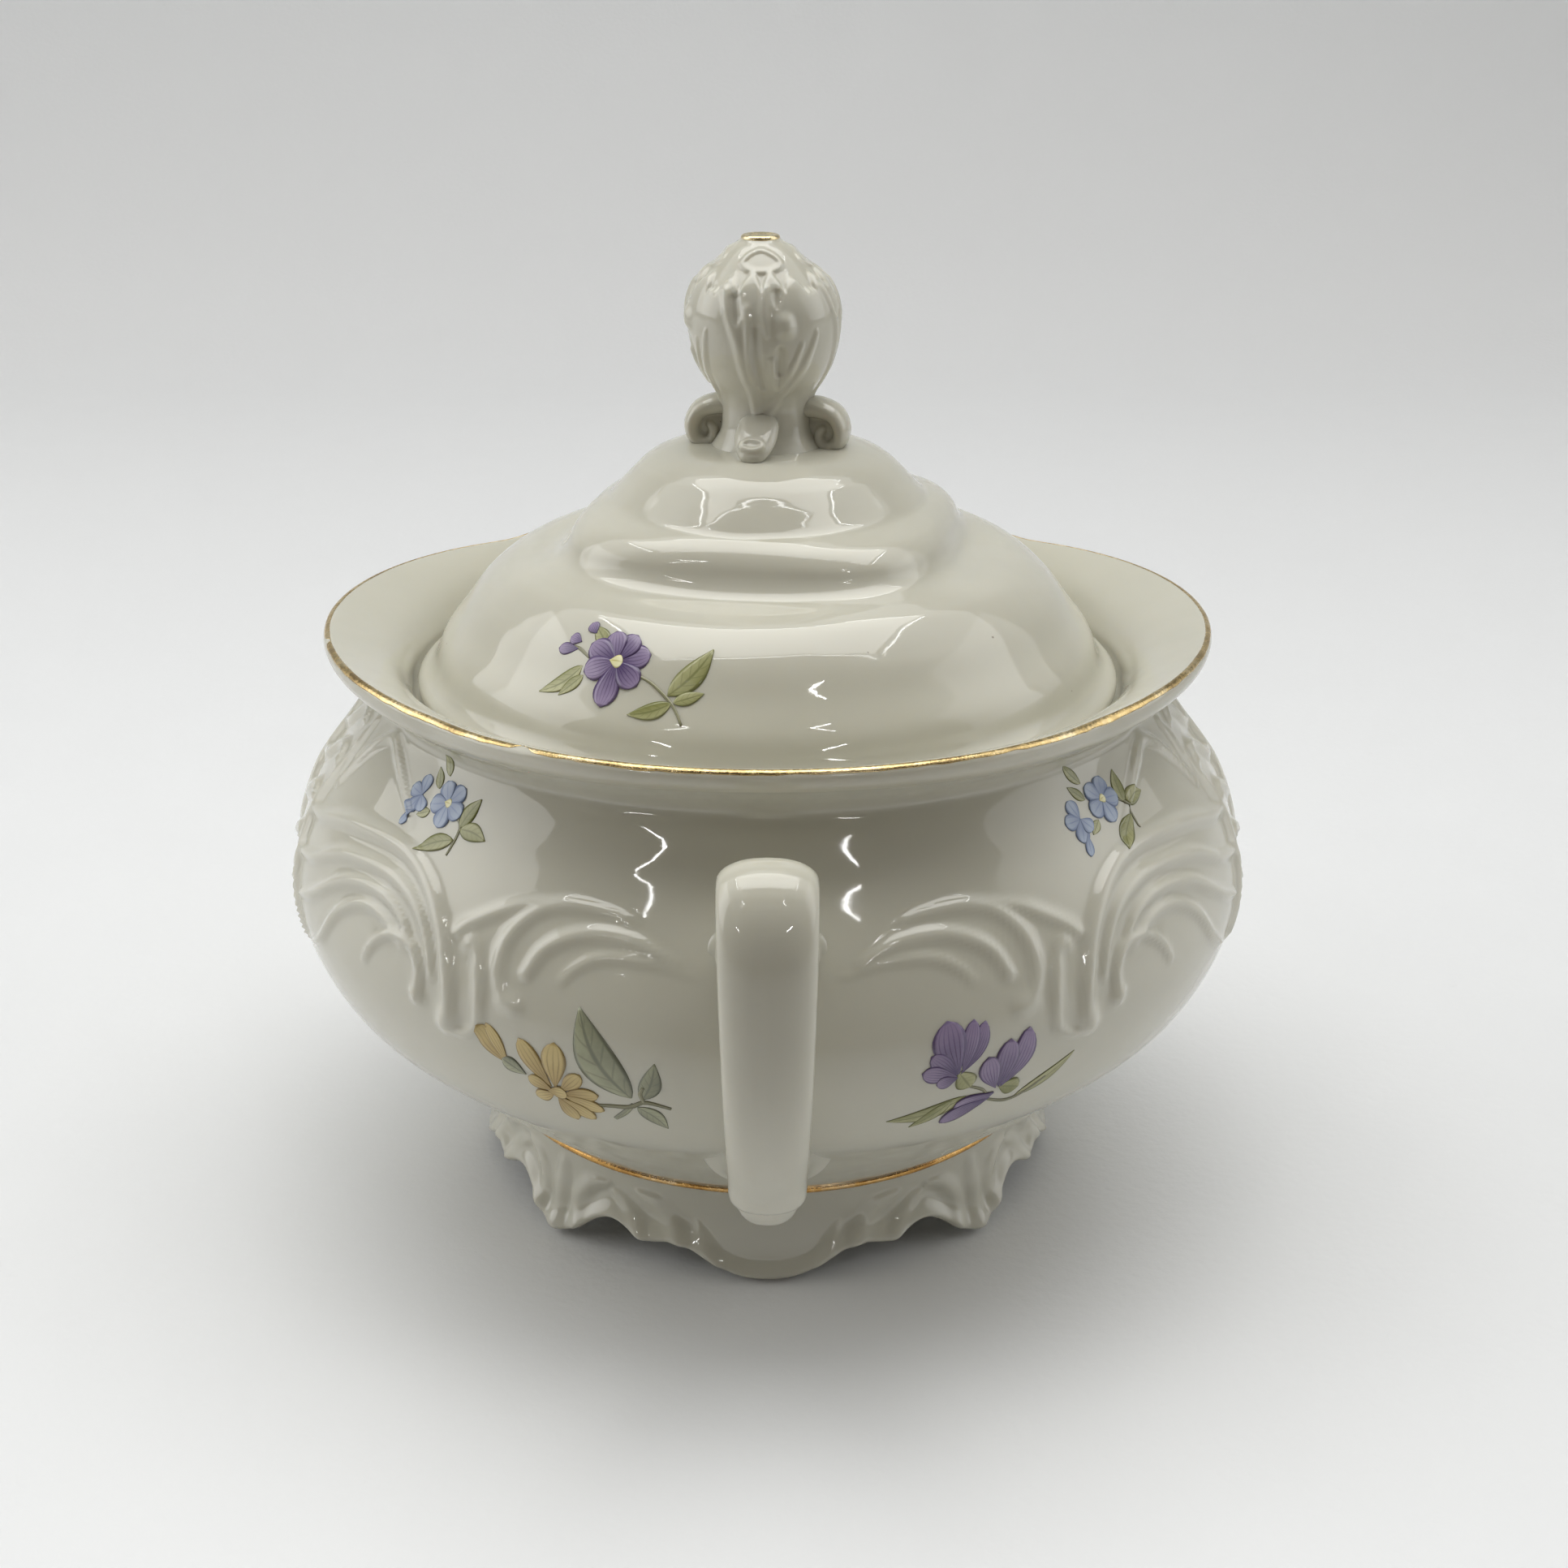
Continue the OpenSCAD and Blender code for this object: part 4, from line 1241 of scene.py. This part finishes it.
def make_world():
    """A soft tent with a dark open front, which the camera sees as plain pale air."""
    n = Nodes(bpy.data.worlds.new("tent"))
    bpy.context.scene.world = n.owner
    direction = n.new("ShaderNodeTexCoord").outputs["Generated"]
    towards_back = n.new("ShaderNodeSeparateXYZ", Vector=direction).outputs["Y"]
    front = n.span(towards_back, 0.12, -0.42, smooth=True)
    tent = n.mix(front, (0.90, 0.91, 0.91), (0.050, 0.042, 0.034))
    background = n.tree.nodes["Background"]
    n.put(background.inputs["Color"], n.mix(n.camera_ray(), tent, (0.82, 0.84, 0.86)))
    background.inputs["Strength"].default_value = 1.2


def make_camera():
    data = bpy.data.cameras.new("camera")
    data.sensor_width = 36
    data.lens = 48.45
    data.shift_x = 0.0105
    data.clip_start = 0.01
    data.dof.use_dof = False
    camera = bpy.data.objects.new("camera", data)
    camera.location = (0, -0.2429, 0.1477)
    camera.rotation_euler = (math.radians(90 - 22.33), 0, 0)
    bpy.context.scene.collection.objects.link(camera)
    bpy.context.scene.camera = camera


def main():
    porcelain = porcelain_material()
    rim_gold = gold_material("rim_gold", "#D9BE86", "#A98F63")
    line_gold = gold_material("line_gold", "#DDAE68", "#BE8F52")
    tip_gold = gold_material("tip_gold", "#EFDDB2", "#D9C190")
    paints = {
        "violet": paint_material("violet", "#50406A", "#9787A6", "#46345D", 21),
        "blue": paint_material("blue", "#7988A6", "#A0ADC2", "#7483A8", 9),
        "ochre": paint_material("ochre", "#A68C55", "#CFBA80", "#8B7446", 13),
        "pollen": paint_material("pollen", "#D8D091", "#EFEBC2", "#BDB266", 5),
        "leaf": leaf_material("leaf", "#82844F", "#B3B286", "#6B6D42"),
        "shadow_leaf": leaf_material("shadow_leaf", "#7A7C68", "#ADAF91", "#636557"),
        "stem": leaf_material("stem", "#77755A", "#9B997B", "#6A684C"),
    }
    make_bowl(porcelain)
    make_foot(porcelain)
    make_handle("handle_strap_front", "handle_front", -1, porcelain)
    make_handle("handle_strap_rear", "handle_rear", 1, porcelain)
    make_lid(porcelain)
    make_collar(porcelain)
    make_bud(porcelain)
    make_volutes(porcelain)
    make_rim_gold(rim_gold)
    make_foot_gold(line_gold)
    make_tip_gold(tip_gold)
    make_sprays(paints)
    make_stage()
    make_lights()
    make_world()
    make_camera()
    bpy.context.scene.view_settings.view_transform = "Standard"


main()
